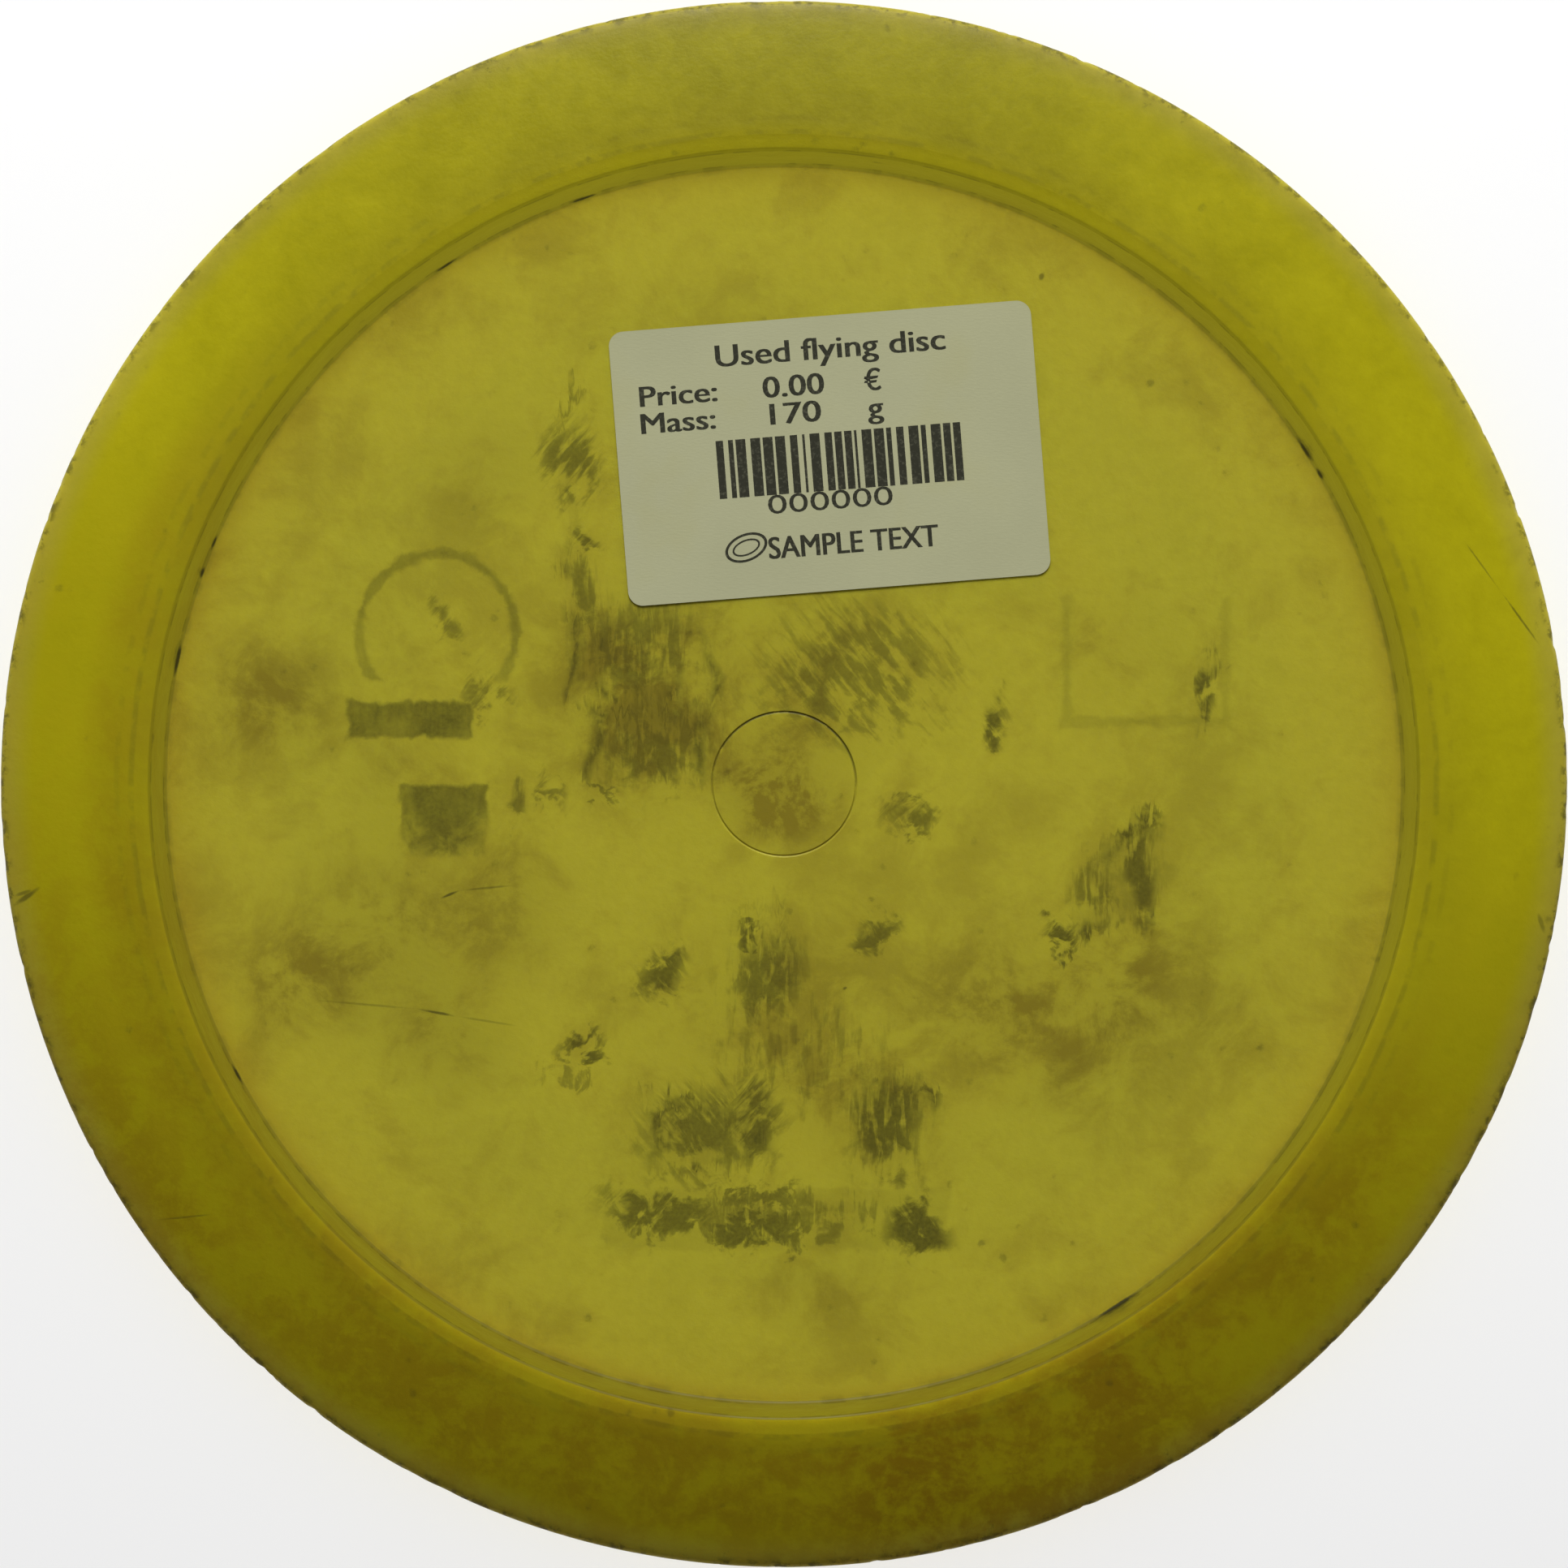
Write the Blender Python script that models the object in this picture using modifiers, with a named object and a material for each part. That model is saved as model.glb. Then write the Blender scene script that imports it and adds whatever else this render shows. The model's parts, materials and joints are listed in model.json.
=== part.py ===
"""Golf flying disc with a price label and the worn remains of a foil stamp.

The disc lies hollow side up, on the flat of its flight plate. The origin is the middle of that flat,
+Z points out of the hollow, and the label reads upright along +Y. Metres.
"""

import math

import bmesh
import bpy

# Disc
DISC_DIAMETER = 0.2110
RIM_WIDTH = 0.0211          # nose to the inner wall, at the plate
RIM_DEPTH = 0.0120          # plate's inner face to the rim's edge ring
PLATE_THICKNESS = 0.0021
EDGE_RING_WIDTH = 0.0023    # flat ring that the disc lands on
WALL_DRAFT = math.radians(1.0)
SHOULDER_INSIDE_WALL = 0.0159  # the outer face is flat up to this far inside the inner wall

# Nose, the sharp outer edge
NOSE_RADIUS = 0.0012
NOSE_BELOW_RING = 0.0055    # nose's middle, measured from the edge ring's plane
LOWER_SLOPE_AT_NOSE = math.radians(17.5)
LOWER_SLOPE_AT_RING = math.radians(10.0)
UPPER_SLOPE_AT_NOSE = math.radians(33.0)
UPPER_PULL_AT_NOSE = 0.009  # how far each end's slope carries into the shoulder's curve
UPPER_PULL_AT_PLATE = 0.014

# Small features of the moulding
CORNER_FILLET = 0.0006      # plate to inner wall
RING_EDGE_FILLET = 0.0005   # inner wall to edge ring
GATE_RING_RADIUS = 0.0098   # witness line left round the moulding gate
GATE_RING_WIDTH = 0.0004
GATE_RING_DEPTH = 0.00015

# Price label
LABEL_LENGTH = 0.0576
LABEL_HEIGHT = 0.0374
LABEL_THICKNESS = 0.00015
LABEL_CORNER = 0.0020
LABEL_RIGHT_OF_MIDDLE = 0.0062
LABEL_BELOW_WALL = 0.0394   # inner wall at 12 o'clock to the label's middle
LABEL_TILT = math.radians(4.5)
LABEL_GLUE_GAP = 0.00005

# Foil stamp: thin islands in beds that the stamping pressed into the plate's outer face
FOIL_THICKNESS = 0.00010
FOIL_BED_DEPTH = 0.00020
FOIL_FACE_INSET = 0.00005   # how far a foil's outer face lies inside the plate's
FOIL_SIDE_CLEARANCE = 0.00030
FOIL_LINE = 0.0012          # width of a drawn line
STAMP_EDGE_MARGIN = 0.0005  # artwork to the edge of the outer face's flat

DISC_STEPS = 80
ARC_STEPS = 3

PLASTIC = ("yellow_plastic", (0.36, 0.31, 0.012), 0.38, 0.0)
PAPER = ("label_paper", (0.62, 0.62, 0.55), 0.65, 0.0)
FOIL = ((0.060, 0.058, 0.030), 0.45, 0.3)


def clear_scene():
    for obj in list(bpy.data.objects):
        bpy.data.objects.remove(obj, do_unlink=True)


def new_collection(name):
    collection = bpy.data.collections.new(name)
    bpy.context.scene.collection.children.link(collection)
    return collection


def new_material(name, colour, roughness, metallic):
    material = bpy.data.materials.new(name)
    material.use_nodes = True
    shader = material.node_tree.nodes["Principled BSDF"]
    shader.inputs["Base Color"].default_value = (*colour, 1.0)
    shader.inputs["Roughness"].default_value = roughness
    shader.inputs["Metallic"].default_value = metallic
    return material


# ---- sizes that follow from the driving ones

def wall_radius():
    """The inner wall's radius where it meets the plate."""
    return DISC_DIAMETER / 2 - RIM_WIDTH


def flat_radius():
    """The radius of the flat middle of the plate's outer face."""
    return wall_radius() - SHOULDER_INSIDE_WALL


# ---- outlines

def arc_points(centre, radius, start, end, steps):
    """Points on an arc, from the angle start to the angle end, in degrees."""
    return [
        (
            centre[0] + radius * math.cos(math.radians(start + (end - start) * i / steps)),
            centre[1] + radius * math.sin(math.radians(start + (end - start) * i / steps)),
        )
        for i in range(steps + 1)
    ]


def bezier_points(p0, p1, p2, p3, steps):
    """Points on a cubic curve, without its first."""
    points = []
    for i in range(1, steps + 1):
        t = i / steps
        weights = ((1 - t) ** 3, 3 * (1 - t) ** 2 * t, 3 * (1 - t) * t ** 2, t ** 3)
        points.append(tuple(
            sum(weight * p[axis] for weight, p in zip(weights, (p0, p1, p2, p3)))
            for axis in (0, 1)
        ))
    return points


def rounded_box(length, height, radius):
    """Outline of a rectangle with round corners, about the origin, counter-clockwise."""
    x, y = length / 2 - radius, height / 2 - radius
    corners = (((x, y), 0), ((-x, y), 90), ((-x, -y), 180), ((x, -y), 270))
    points = []
    for centre, start in corners:
        points += arc_points(centre, radius, start, start + 90, ARC_STEPS)
    return points


def grown(points, margin):
    """A counter-clockwise outline moved outwards by margin, with mitred corners."""
    result = []
    for i, (x, y) in enumerate(points):
        before, after = points[i - 1], points[(i + 1) % len(points)]
        into = math.hypot(x - before[0], y - before[1])
        out = math.hypot(after[0] - x, after[1] - y)
        n0 = ((y - before[1]) / into, (before[0] - x) / into)
        n1 = ((after[1] - y) / out, (x - after[0]) / out)
        scale = margin / (1 + n0[0] * n1[0] + n0[1] * n1[1])
        result.append((x + (n0[0] + n1[0]) * scale, y + (n0[1] + n1[1]) * scale))
    return result


def stroke(path, width):
    """Outline, counter-clockwise, of a line of the given width that follows an open path."""
    there = path + path[-2:0:-1]
    outline = []
    ends = (0, len(path) - 1)
    for i, (x, y) in enumerate(there):
        before, after = there[i - 1], there[(i + 1) % len(there)]
        into = math.hypot(x - before[0], y - before[1])
        out = math.hypot(after[0] - x, after[1] - y)
        n0 = ((y - before[1]) / into, (before[0] - x) / into)
        n1 = ((after[1] - y) / out, (x - after[0]) / out)
        if i in ends:
            outline += [(x + n[0] * width / 2, y + n[1] * width / 2) for n in (n0, n1)]
            continue
        scale = width / 2 / (1 + n0[0] * n1[0] + n0[1] * n1[1])
        outline.append((x + (n0[0] + n1[0]) * scale, y + (n0[1] + n1[1]) * scale))
    return outline


def comb(length, reach, teeth, tooth):
    """A spine along X from the origin, with teeth of the given width hanging along -Y."""
    pitch = (length - tooth) / (teeth - 1)
    outline = [(length, 0.0), (0.0, 0.0)]
    for i in range(teeth):
        left = i * pitch
        outline += [(left, -reach), (left + tooth, -reach)]
        if i < teeth - 1:
            outline += [(left + tooth, -FOIL_LINE), (left + pitch, -FOIL_LINE)]
    return outline


def placed(points, place, turn=0.0):
    """The outline turned by turn degrees and moved to place."""
    c, s = math.cos(math.radians(turn)), math.sin(math.radians(turn))
    return [(place[0] + x * c - y * s, place[1] + x * s + y * c) for x, y in points]


def foil_outlines():
    """Each foil island's name and its counter-clockwise outline, seen from the hollow side.

    The artwork is drawn in a circle of radius 1, and fills the outer face's flat.
    """
    art = flat_radius() - STAMP_EDGE_MARGIN

    def drawn(outline, place, turn=0.0):
        return placed(outline, (place[0] * art, place[1] * art), turn)

    def box(length, height, radius):
        return rounded_box(length * art, height * art, radius * art)

    def rake(length, reach, teeth, tooth):
        return comb(length * art, reach * art, teeth, tooth * art)

    def line(path):
        return stroke([(x * art, y * art) for x, y in path], FOIL_LINE)

    arc = arc_points((0, 0), 0.157, -35, 215, 20)
    frame = [(0, 0.25), (0, 0), (0.316, 0), (0.316, 0.25)]
    zigzag = [(0.024 * (-1) ** i, 0.07 * i) for i in range(7)]
    wedge = [(0.550, -0.323), (0.765, -0.243), (0.753, -0.052), (0.669, -0.059)]
    return {
        "foil_arc": drawn(line(arc), (-0.694, 0.303)),
        "foil_bar": drawn(box(0.247, 0.070, 0.009), (-0.747, 0.129)),
        "foil_zigzag": drawn(line(zigzag), (-0.426, 0.385)),
        "foil_upper_comb": drawn(rake(0.294, 0.162, 5, 0.025), (-0.431, 0.331)),
        "foil_lower_comb": drawn(rake(0.250, 0.140, 4, 0.028), (-0.401, 0.147)),
        "foil_frame": drawn(line(frame), (0.566, 0.125)),
        "foil_patch": drawn(box(0.169, 0.140, 0.044), (-0.681, -0.074)),
        "foil_wedge": [(x * art, y * art) for x, y in wedge],
        "foil_ladder": drawn(rake(0.199, 0.147, 6, 0.016), (-0.103, -0.449), 98),
        "foil_left_block": drawn(box(0.265, 0.147, 0.021), (-0.154, -0.691), 6),
        "foil_right_block": drawn(box(0.154, 0.162, 0.021), (0.221, -0.684), -8),
        "foil_base_band": drawn(box(0.691, 0.118, 0.056), (-0.015, -0.871)),
    }


# ---- solids

def finish(obj, collection, material):
    """Put the object in its collection, give it its material and shade its round faces smooth."""
    collection.objects.link(obj)
    obj.data.materials.clear()
    obj.data.materials.append(material)
    obj.data.shade_smooth()
    obj.data.set_sharp_from_angle(angle=math.radians(30))


def flat_solid(name, outline, low, high):
    """A mesh object of the outline's shape, between two heights."""
    curve = bpy.data.curves.new(name, "CURVE")
    curve.dimensions = "2D"
    curve.fill_mode = "BOTH"
    curve.extrude = (high - low) / 2
    spline = curve.splines.new("POLY")
    spline.points.add(len(outline) - 1)
    for point, (x, y) in zip(spline.points, outline):
        point.co = (x, y, 0.0, 1.0)
    spline.use_cyclic_u = True
    drawn = bpy.data.objects.new(name + "_outline", curve)
    bpy.context.scene.collection.objects.link(drawn)
    evaluated = drawn.evaluated_get(bpy.context.evaluated_depsgraph_get())
    mesh = bpy.data.meshes.new_from_object(evaluated)
    mesh.name = name
    bpy.data.objects.remove(drawn, do_unlink=True)
    bpy.data.curves.remove(curve)
    shape = bmesh.new()
    shape.from_mesh(mesh)
    bmesh.ops.remove_doubles(shape, verts=shape.verts, dist=1e-7)
    bmesh.ops.translate(shape, verts=shape.verts, vec=(0, 0, (low + high) / 2))
    bmesh.ops.recalc_face_normals(shape, faces=shape.faces)
    shape.to_mesh(mesh)
    shape.free()
    return bpy.data.objects.new(name, mesh)


def disc_profile():
    """(radius, height) points of the disc's section: inner face, rim, nose, shoulder, outer face."""
    plate = PLATE_THICKNESS
    ring = plate + RIM_DEPTH
    nose = DISC_DIAMETER / 2
    wall = wall_radius()
    wall_top = wall + RIM_DEPTH * math.tan(WALL_DRAFT)
    points = [
        (0.0, plate),
        (GATE_RING_RADIUS - GATE_RING_WIDTH / 2, plate),
        (GATE_RING_RADIUS, plate - GATE_RING_DEPTH),
        (GATE_RING_RADIUS + GATE_RING_WIDTH / 2, plate),
    ]
    points += arc_points((wall - CORNER_FILLET, plate + CORNER_FILLET), CORNER_FILLET, -90, 0, ARC_STEPS)
    fillet = (wall_top + RING_EDGE_FILLET, ring - RING_EDGE_FILLET)
    points += arc_points(fillet, RING_EDGE_FILLET, 180, 90, ARC_STEPS)
    ring_end = (wall_top + EDGE_RING_WIDTH, ring)
    points.append(ring_end)

    # The rim's underside leaves the ring and meets the nose's arc at their slopes.
    centre = (nose - NOSE_RADIUS, ring - NOSE_BELOW_RING)
    lower = math.degrees(LOWER_SLOPE_AT_NOSE)
    upper = math.degrees(UPPER_SLOPE_AT_NOSE)
    nose_arc = arc_points(centre, NOSE_RADIUS, 90 - lower, upper - 90, 7)
    reach = (nose_arc[0][0] - ring_end[0]) / 3
    points += bezier_points(
        ring_end,
        (ring_end[0] + reach, ring_end[1] - reach * math.tan(LOWER_SLOPE_AT_RING)),
        (nose_arc[0][0] - reach, nose_arc[0][1] + reach * math.tan(LOWER_SLOPE_AT_NOSE)),
        nose_arc[0],
        6,
    )
    points += nose_arc[1:]

    # The shoulder rolls from the nose into the flat of the outer face.
    start = nose_arc[-1]
    pull = UPPER_PULL_AT_NOSE
    points += bezier_points(
        start,
        (start[0] - pull * math.cos(UPPER_SLOPE_AT_NOSE), start[1] - pull * math.sin(UPPER_SLOPE_AT_NOSE)),
        (flat_radius() + UPPER_PULL_AT_PLATE, 0.0),
        (flat_radius(), 0.0),
        9,
    )
    points.append((0.0, 0.0))
    return points


def build_disc(parts, cutters, foils, material):
    """The one-piece moulding, turned from its section, with a bed for each foil island."""
    mesh = bpy.data.meshes.new("disc_body")
    shape = bmesh.new()
    verts = [shape.verts.new((radius, 0.0, height)) for radius, height in disc_profile()]
    for first, second in zip(verts, verts[1:]):
        shape.edges.new((first, second))
    shape.to_mesh(mesh)
    shape.free()
    disc = bpy.data.objects.new("disc_body", mesh)
    finish(disc, parts, material)
    turn = disc.modifiers.new("turned", "SCREW")
    turn.axis = "Z"
    turn.angle = math.tau
    turn.steps = DISC_STEPS
    turn.render_steps = DISC_STEPS
    turn.use_merge_vertices = True
    turn.merge_threshold = 1e-6
    turn.use_smooth_shade = True
    for name, outline in foils.items():
        bed = flat_solid(name + "_bed", grown(outline, FOIL_SIDE_CLEARANCE), -0.001, FOIL_BED_DEPTH)
        cutters.objects.link(bed)
        bed.hide_render = True
        bed.display_type = "WIRE"
    press = disc.modifiers.new("foil_beds", "BOOLEAN")
    press.operation = "DIFFERENCE"
    press.operand_type = "COLLECTION"
    press.collection = cutters
    return disc


def build_label(parts, material):
    """The paper label, glued flat on the plate inside the hollow."""
    low = PLATE_THICKNESS + LABEL_GLUE_GAP
    outline = rounded_box(LABEL_LENGTH, LABEL_HEIGHT, LABEL_CORNER)
    label = flat_solid("price_label", outline, low, low + LABEL_THICKNESS)
    finish(label, parts, material)
    label.location = (LABEL_RIGHT_OF_MIDDLE, wall_radius() - LABEL_BELOW_WALL, 0.0)
    label.rotation_euler.z = LABEL_TILT
    return label


def build_foil(parts, name, outline, material):
    """One foil island, a hair inside the plate's outer face."""
    low = FOIL_FACE_INSET
    foil = flat_solid(name, outline, low, low + FOIL_THICKNESS)
    finish(foil, parts, material)
    return foil


def main():
    clear_scene()
    parts = new_collection("flying_disc")
    cutters = new_collection("cutters")
    foils = foil_outlines()
    build_disc(parts, cutters, foils, new_material(*PLASTIC))
    build_label(parts, new_material(*PAPER))
    for name, outline in foils.items():
        build_foil(parts, name, outline, new_material(name, *FOIL))


main()
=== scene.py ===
"""Looks of a used golf flying disc: a one-piece yellow moulding, a price label and a worn foil stamp.

The disc lies hollow side up. Lengths are metres, and names that end in _mm are millimetres.
"""

import json
import math

import bmesh
import bpy
from bpy.props import FloatProperty, FloatVectorProperty, IntProperty, PointerProperty, StringProperty
from mathutils import Matrix, Vector

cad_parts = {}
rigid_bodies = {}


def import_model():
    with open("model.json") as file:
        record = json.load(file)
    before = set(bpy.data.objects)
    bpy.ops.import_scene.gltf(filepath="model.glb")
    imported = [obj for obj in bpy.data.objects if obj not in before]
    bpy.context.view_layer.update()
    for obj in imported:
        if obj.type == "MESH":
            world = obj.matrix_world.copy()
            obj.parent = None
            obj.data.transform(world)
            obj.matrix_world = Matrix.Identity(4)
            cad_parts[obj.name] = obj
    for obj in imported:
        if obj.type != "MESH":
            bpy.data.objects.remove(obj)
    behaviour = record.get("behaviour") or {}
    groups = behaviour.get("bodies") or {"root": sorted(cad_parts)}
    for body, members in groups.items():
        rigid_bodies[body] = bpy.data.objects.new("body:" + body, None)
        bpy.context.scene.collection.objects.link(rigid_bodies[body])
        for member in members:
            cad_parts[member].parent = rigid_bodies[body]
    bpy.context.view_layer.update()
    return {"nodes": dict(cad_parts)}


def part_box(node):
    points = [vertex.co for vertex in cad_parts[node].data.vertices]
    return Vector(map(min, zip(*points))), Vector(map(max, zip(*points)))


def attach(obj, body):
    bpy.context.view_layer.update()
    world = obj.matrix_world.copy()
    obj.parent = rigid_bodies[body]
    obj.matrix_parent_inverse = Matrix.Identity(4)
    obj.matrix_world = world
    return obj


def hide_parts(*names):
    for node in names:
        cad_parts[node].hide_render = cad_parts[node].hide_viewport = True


bl_info = {
    "name": "Golf Flying Disc",
    "version": (1, 0, 0),
    "blender": (4, 5, 0),
    "location": "View3D > Sidebar > Flying Disc",
    "description": "Builds a used golf flying disc with its label and its worn foil stamp",
    "category": "Add Mesh",
}

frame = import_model()
BODY_LOW, BODY_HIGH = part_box("disc_body")
LABEL_LOW, LABEL_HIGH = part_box("price_label")
FOIL_NODES = sorted(name for name in frame["nodes"] if name.startswith("foil_"))

NOSE_RADIUS = BODY_HIGH.x
RING_HEIGHT = BODY_HIGH.z
MM = 1000.0
CLEAR = 1e-6
WELD = 1e-7


# ---- settings

# Each kind of setting has one helper, so that its unit, precision and limits are given once.
def size_of(name, description, default):
    return FloatProperty(name=name, description=description, default=default, unit="LENGTH", precision=5)


def angle_of(name, description, degrees):
    return FloatProperty(name=name, description=description, default=math.radians(degrees), subtype="ANGLE")


def colour_of(name, description, *default):
    return FloatVectorProperty(name=name, description=description, default=default, size=3, subtype="COLOR")


def share_of(name, description, default):
    return FloatProperty(name=name, description=description, default=default, min=0.0, max=1.0, subtype="FACTOR")


class DiscShape(bpy.types.PropertyGroup):
    """Sizes of the moulding."""

    rim_width: size_of("Rim width", "Nose to the inner wall", 0.0211)
    plate: size_of("Plate thickness", "Flight plate's thickness", 0.0021)
    edge_ring: size_of("Edge ring", "Width of the ring the disc lands on", 0.0023)
    wall_draft: angle_of("Wall draft", "Lean of the inner wall", 1.0)
    shoulder_start: size_of("Shoulder start", "How far inside the wall the outer face starts to fall", 0.0159)
    nose_round: size_of("Nose rounding", "Radius of the sharp outer edge", 0.0012)
    nose_drop: size_of("Nose below ring", "Edge ring's plane to the nose", 0.0055)
    gate_ring: size_of("Gate ring", "Radius of the witness line round the gate", 0.0098)
    steps: IntProperty(name="Turn steps", description="Steps round the disc", default=1200, min=96)
    nick_depth: size_of("Nick depth", "Depth of the deepest nick in the nose", 0.00022)
    nick_size: size_of("Nick size", "Usual length of a nick", 0.0032)


class DiscPlastic(bpy.types.PropertyGroup):
    """Finish of the yellow plastic."""

    plate: colour_of("Plate", "Thin plate, pale because light passes it", 0.348, 0.317, 0.023)
    rim: colour_of("Rim", "Thick rim, a fuller yellow", 0.322, 0.290, 0.0030)
    nose: colour_of("Nose", "Scuffed outer edge", 0.300, 0.262, 0.028)
    # Also used for painted shade on the plate near the wall
    grime_and_shade: colour_of("Grime", "Ground-in dirt", 0.140, 0.102, 0.009)
    # Also used for painted shade on the rim towards -y
    rim_dirt_and_shade: colour_of("Rim grime", "Brown dirt on the rim", 0.170, 0.095, 0.002)
    soot: colour_of("Dark dirt", "Dirt in grooves and cuts", 0.030, 0.027, 0.007)
    stamp: colour_of("Stamp behind", "Worn foil seen through the plate", 0.042, 0.038, 0.007)
    show_through: share_of("Show-through", "How strongly the stamp shows through the plate", 0.90)
    roughness: share_of("Roughness", "Average roughness", 0.44)
    glow: share_of("Scatter", "Share of light that scatters inside the plastic", 0.35)


class LabelLook(bpy.types.PropertyGroup):
    """The paper label and its print."""

    length: size_of("Length", "Label's long side", 0.0576)
    height: size_of("Height", "Label's short side", 0.0374)
    corner: size_of("Corner", "Corner radius", 0.0020)
    tilt: angle_of("Tilt", "Turn of the label on the plate", 4.5)
    paper: colour_of("Paper", "Paper colour", 0.350, 0.350, 0.205)
    ink: colour_of("Ink", "Thermal print colour", 0.018, 0.018, 0.008)
    heading: StringProperty(name="Heading", description="Top line", default="Used flying disc")
    number: StringProperty(name="Number", description="Digits under the bars", default="000000")
    bars: IntProperty(name="Bars", description="Bars in the bar pattern", default=22, min=4)
    seed: IntProperty(name="Seed", description="Choice of bar widths", default=11)


class StageLook(bpy.types.PropertyGroup):
    """Floor, lights and camera."""

    floor: colour_of("Floor", "Floor colour", 0.90, 0.90, 0.90)
    camera_height: size_of("Camera height", "Camera above the nose", 0.65)
    key: FloatProperty(name="Key", description="Power of the key light, in watts", default=112.0)
    key_elevation: angle_of("Key elevation", "Key light above the horizon", 26.0)
    sky: FloatProperty(name="Sky", description="Strength of the even light", default=0.205)


class FlyingDiscSettings(bpy.types.PropertyGroup):
    """Everything a user would change."""

    shape: PointerProperty(type=DiscShape)
    plastic: PointerProperty(type=DiscPlastic)
    label: PointerProperty(type=LabelLook)
    stage: PointerProperty(type=StageLook)


# ---- node maths

class Field:
    """A node's output, with the operators that shader and geometry maths need."""

    def __init__(self, graph, socket):
        self.graph = graph
        self.socket = socket

    def math(self, operation, *others, clamp=False):
        values = dict(enumerate((self, *others)))
        return self.graph.node("ShaderNodeMath", {"operation": operation, "use_clamp": clamp}, values)

    def __add__(self, other):
        return self.math("ADD", other)

    def __sub__(self, other):
        return self.math("SUBTRACT", other)

    def __rsub__(self, other):
        return self.math("MULTIPLY_ADD", -1.0, other)

    def __mul__(self, other):
        return self.math("MULTIPLY", other)

    def __truediv__(self, other):
        return self.math("DIVIDE", other)

    def __rtruediv__(self, other):
        return self.math("POWER", -1.0) * other

    def __abs__(self):
        return self.math("ABSOLUTE")

    __radd__ = __add__
    __rmul__ = __mul__

    def least(self, other):
        return self.math("MINIMUM", other)

    def most(self, other):
        return self.math("MAXIMUM", other)

    def held(self):
        """Held between 0 and 1."""
        return self.math("ADD", 0.0, clamp=True)

    def plus(self, share, other):
        """This field with a share of another one added."""
        return self.graph.node("ShaderNodeMath", {"operation": "MULTIPLY_ADD"}, {0: other, 1: share, 2: self})

    def step(self, low, high, top=1.0):
        """0 before low and top past high, smooth between; falls instead where low is the greater."""
        return self.graph.node(
            "ShaderNodeMapRange", {"interpolation_type": "SMOOTHSTEP"},
            {"Value": self, "From Min": low, "From Max": high, "To Max": top})


class Graph:
    """Adds nodes to a tree."""

    def __init__(self, tree):
        self.tree = tree

    def node(self, kind, settings=None, values=None, output=0):
        """A node of this kind, with its settings made first and its sockets given values or links."""
        made = self.tree.nodes.new(kind)
        for name, value in (settings or {}).items():
            setattr(made, name, value)
        for key, value in (values or {}).items():
            self.give(made.inputs[key], value)
        return Field(self, made.outputs[output])

    def give(self, socket, value):
        """Link a field to the socket, or set a plain value on it."""
        if isinstance(value, Field):
            self.tree.links.new(value.socket, socket)
        else:
            socket.default_value = value

    def split(self, vector):
        """The x, y and z of a vector."""
        parts = self.node("ShaderNodeSeparateXYZ", values={0: vector}).socket.node
        return [Field(self, socket) for socket in parts.outputs]

    def joined(self, x, y, z):
        return self.node("ShaderNodeCombineXYZ", values={0: x, 1: y, 2: z})

    def vector(self, operation, *values, output=0):
        return self.node("ShaderNodeVectorMath", {"operation": operation}, dict(enumerate(values)), output)

    def scaled(self, vector, factors):
        return self.vector("MULTIPLY", vector, factors)

    def turned(self, place, degrees, size=(1.0, 1.0)):
        """The place along axes turned by degrees, in units of a size."""
        c, s = math.cos(math.radians(degrees)), math.sin(math.radians(degrees))
        return (self.vector("DOT_PRODUCT", place, (c / size[0], s / size[0], 0.0), output=1),
                self.vector("DOT_PRODUCT", place, (-s / size[1], c / size[1], 0.0), output=1))

    def oval(self, place, centre, half_sizes, degrees=0.0):
        """0 at the middle of an oval and 1 on its edge."""
        (x, y), (half_u, half_v) = centre, half_sizes
        if not degrees:
            flat = self.vector("MULTIPLY_ADD", place, (1 / half_u, 1 / half_v, 0.0), (-x / half_u, -y / half_v, 0.0))
            return self.vector("LENGTH", flat, output=1)
        c, s = math.cos(math.radians(degrees)), math.sin(math.radians(degrees))
        middle = ((x * c + y * s) / half_u, (y * c - x * s) / half_v, 0.0)
        return self.vector(
            "DISTANCE", self.joined(*self.turned(place, degrees, half_sizes), 0.0), middle, output=1)

    def mixed(self, first, second, share):
        """Two colours mixed; share is the second one's."""
        first, second = (c if isinstance(c, Field) else (*c, 1.0) for c in (first, second))
        return self.node("ShaderNodeMix", {"data_type": "RGBA"}, {0: share, 6: first, 7: second}, output=2)

    def noise(self, vector, scale, detail=2.0, roughness=0.5, distortion=0.0):
        return self.node("ShaderNodeTexNoise", values={
            "Vector": vector, "Scale": scale, "Detail": detail, "Roughness": roughness,
            "Distortion": distortion})


def hypot(a, b):
    return (a * a + b * b).math("SQRT")


# ---- outlines in node maths, in millimetres

def box_distance(u, v, half_u, half_v):
    """Below 0 inside a box about the origin."""
    return (abs(u) - half_u).most(abs(v) - half_v)


def arc_distance(u, v, radius, line, open_below):
    """A ring drawn with a line, left open under the height open_below."""
    return (abs(hypot(u, v) - radius) - line / 2).most(open_below - v)


def comb_distance(u, v, length, reach, teeth, tooth, line):
    """A spine along u from the origin, with teeth hanging along -v."""
    pitch = (length - tooth) / (teeth - 1)
    nearest = abs((u - tooth / 2 + pitch / 2).math("WRAP", pitch, 0.0) - pitch / 2) - tooth / 2
    return box_distance(u - length / 2, v + reach / 2, length / 2, reach / 2).most(nearest.least(-line - v))


def zigzag_distance(u, v, swing, rise, turns, line):
    """A line that swings from side to side as it climbs from the origin."""
    centre = swing - v.math("PINGPONG", rise) * (2 * swing / rise)
    across = abs(u - centre) * (rise / math.hypot(rise, 2 * swing)) - line / 2
    return across.most(abs(v - rise * turns / 2) - rise * turns / 2)


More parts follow.
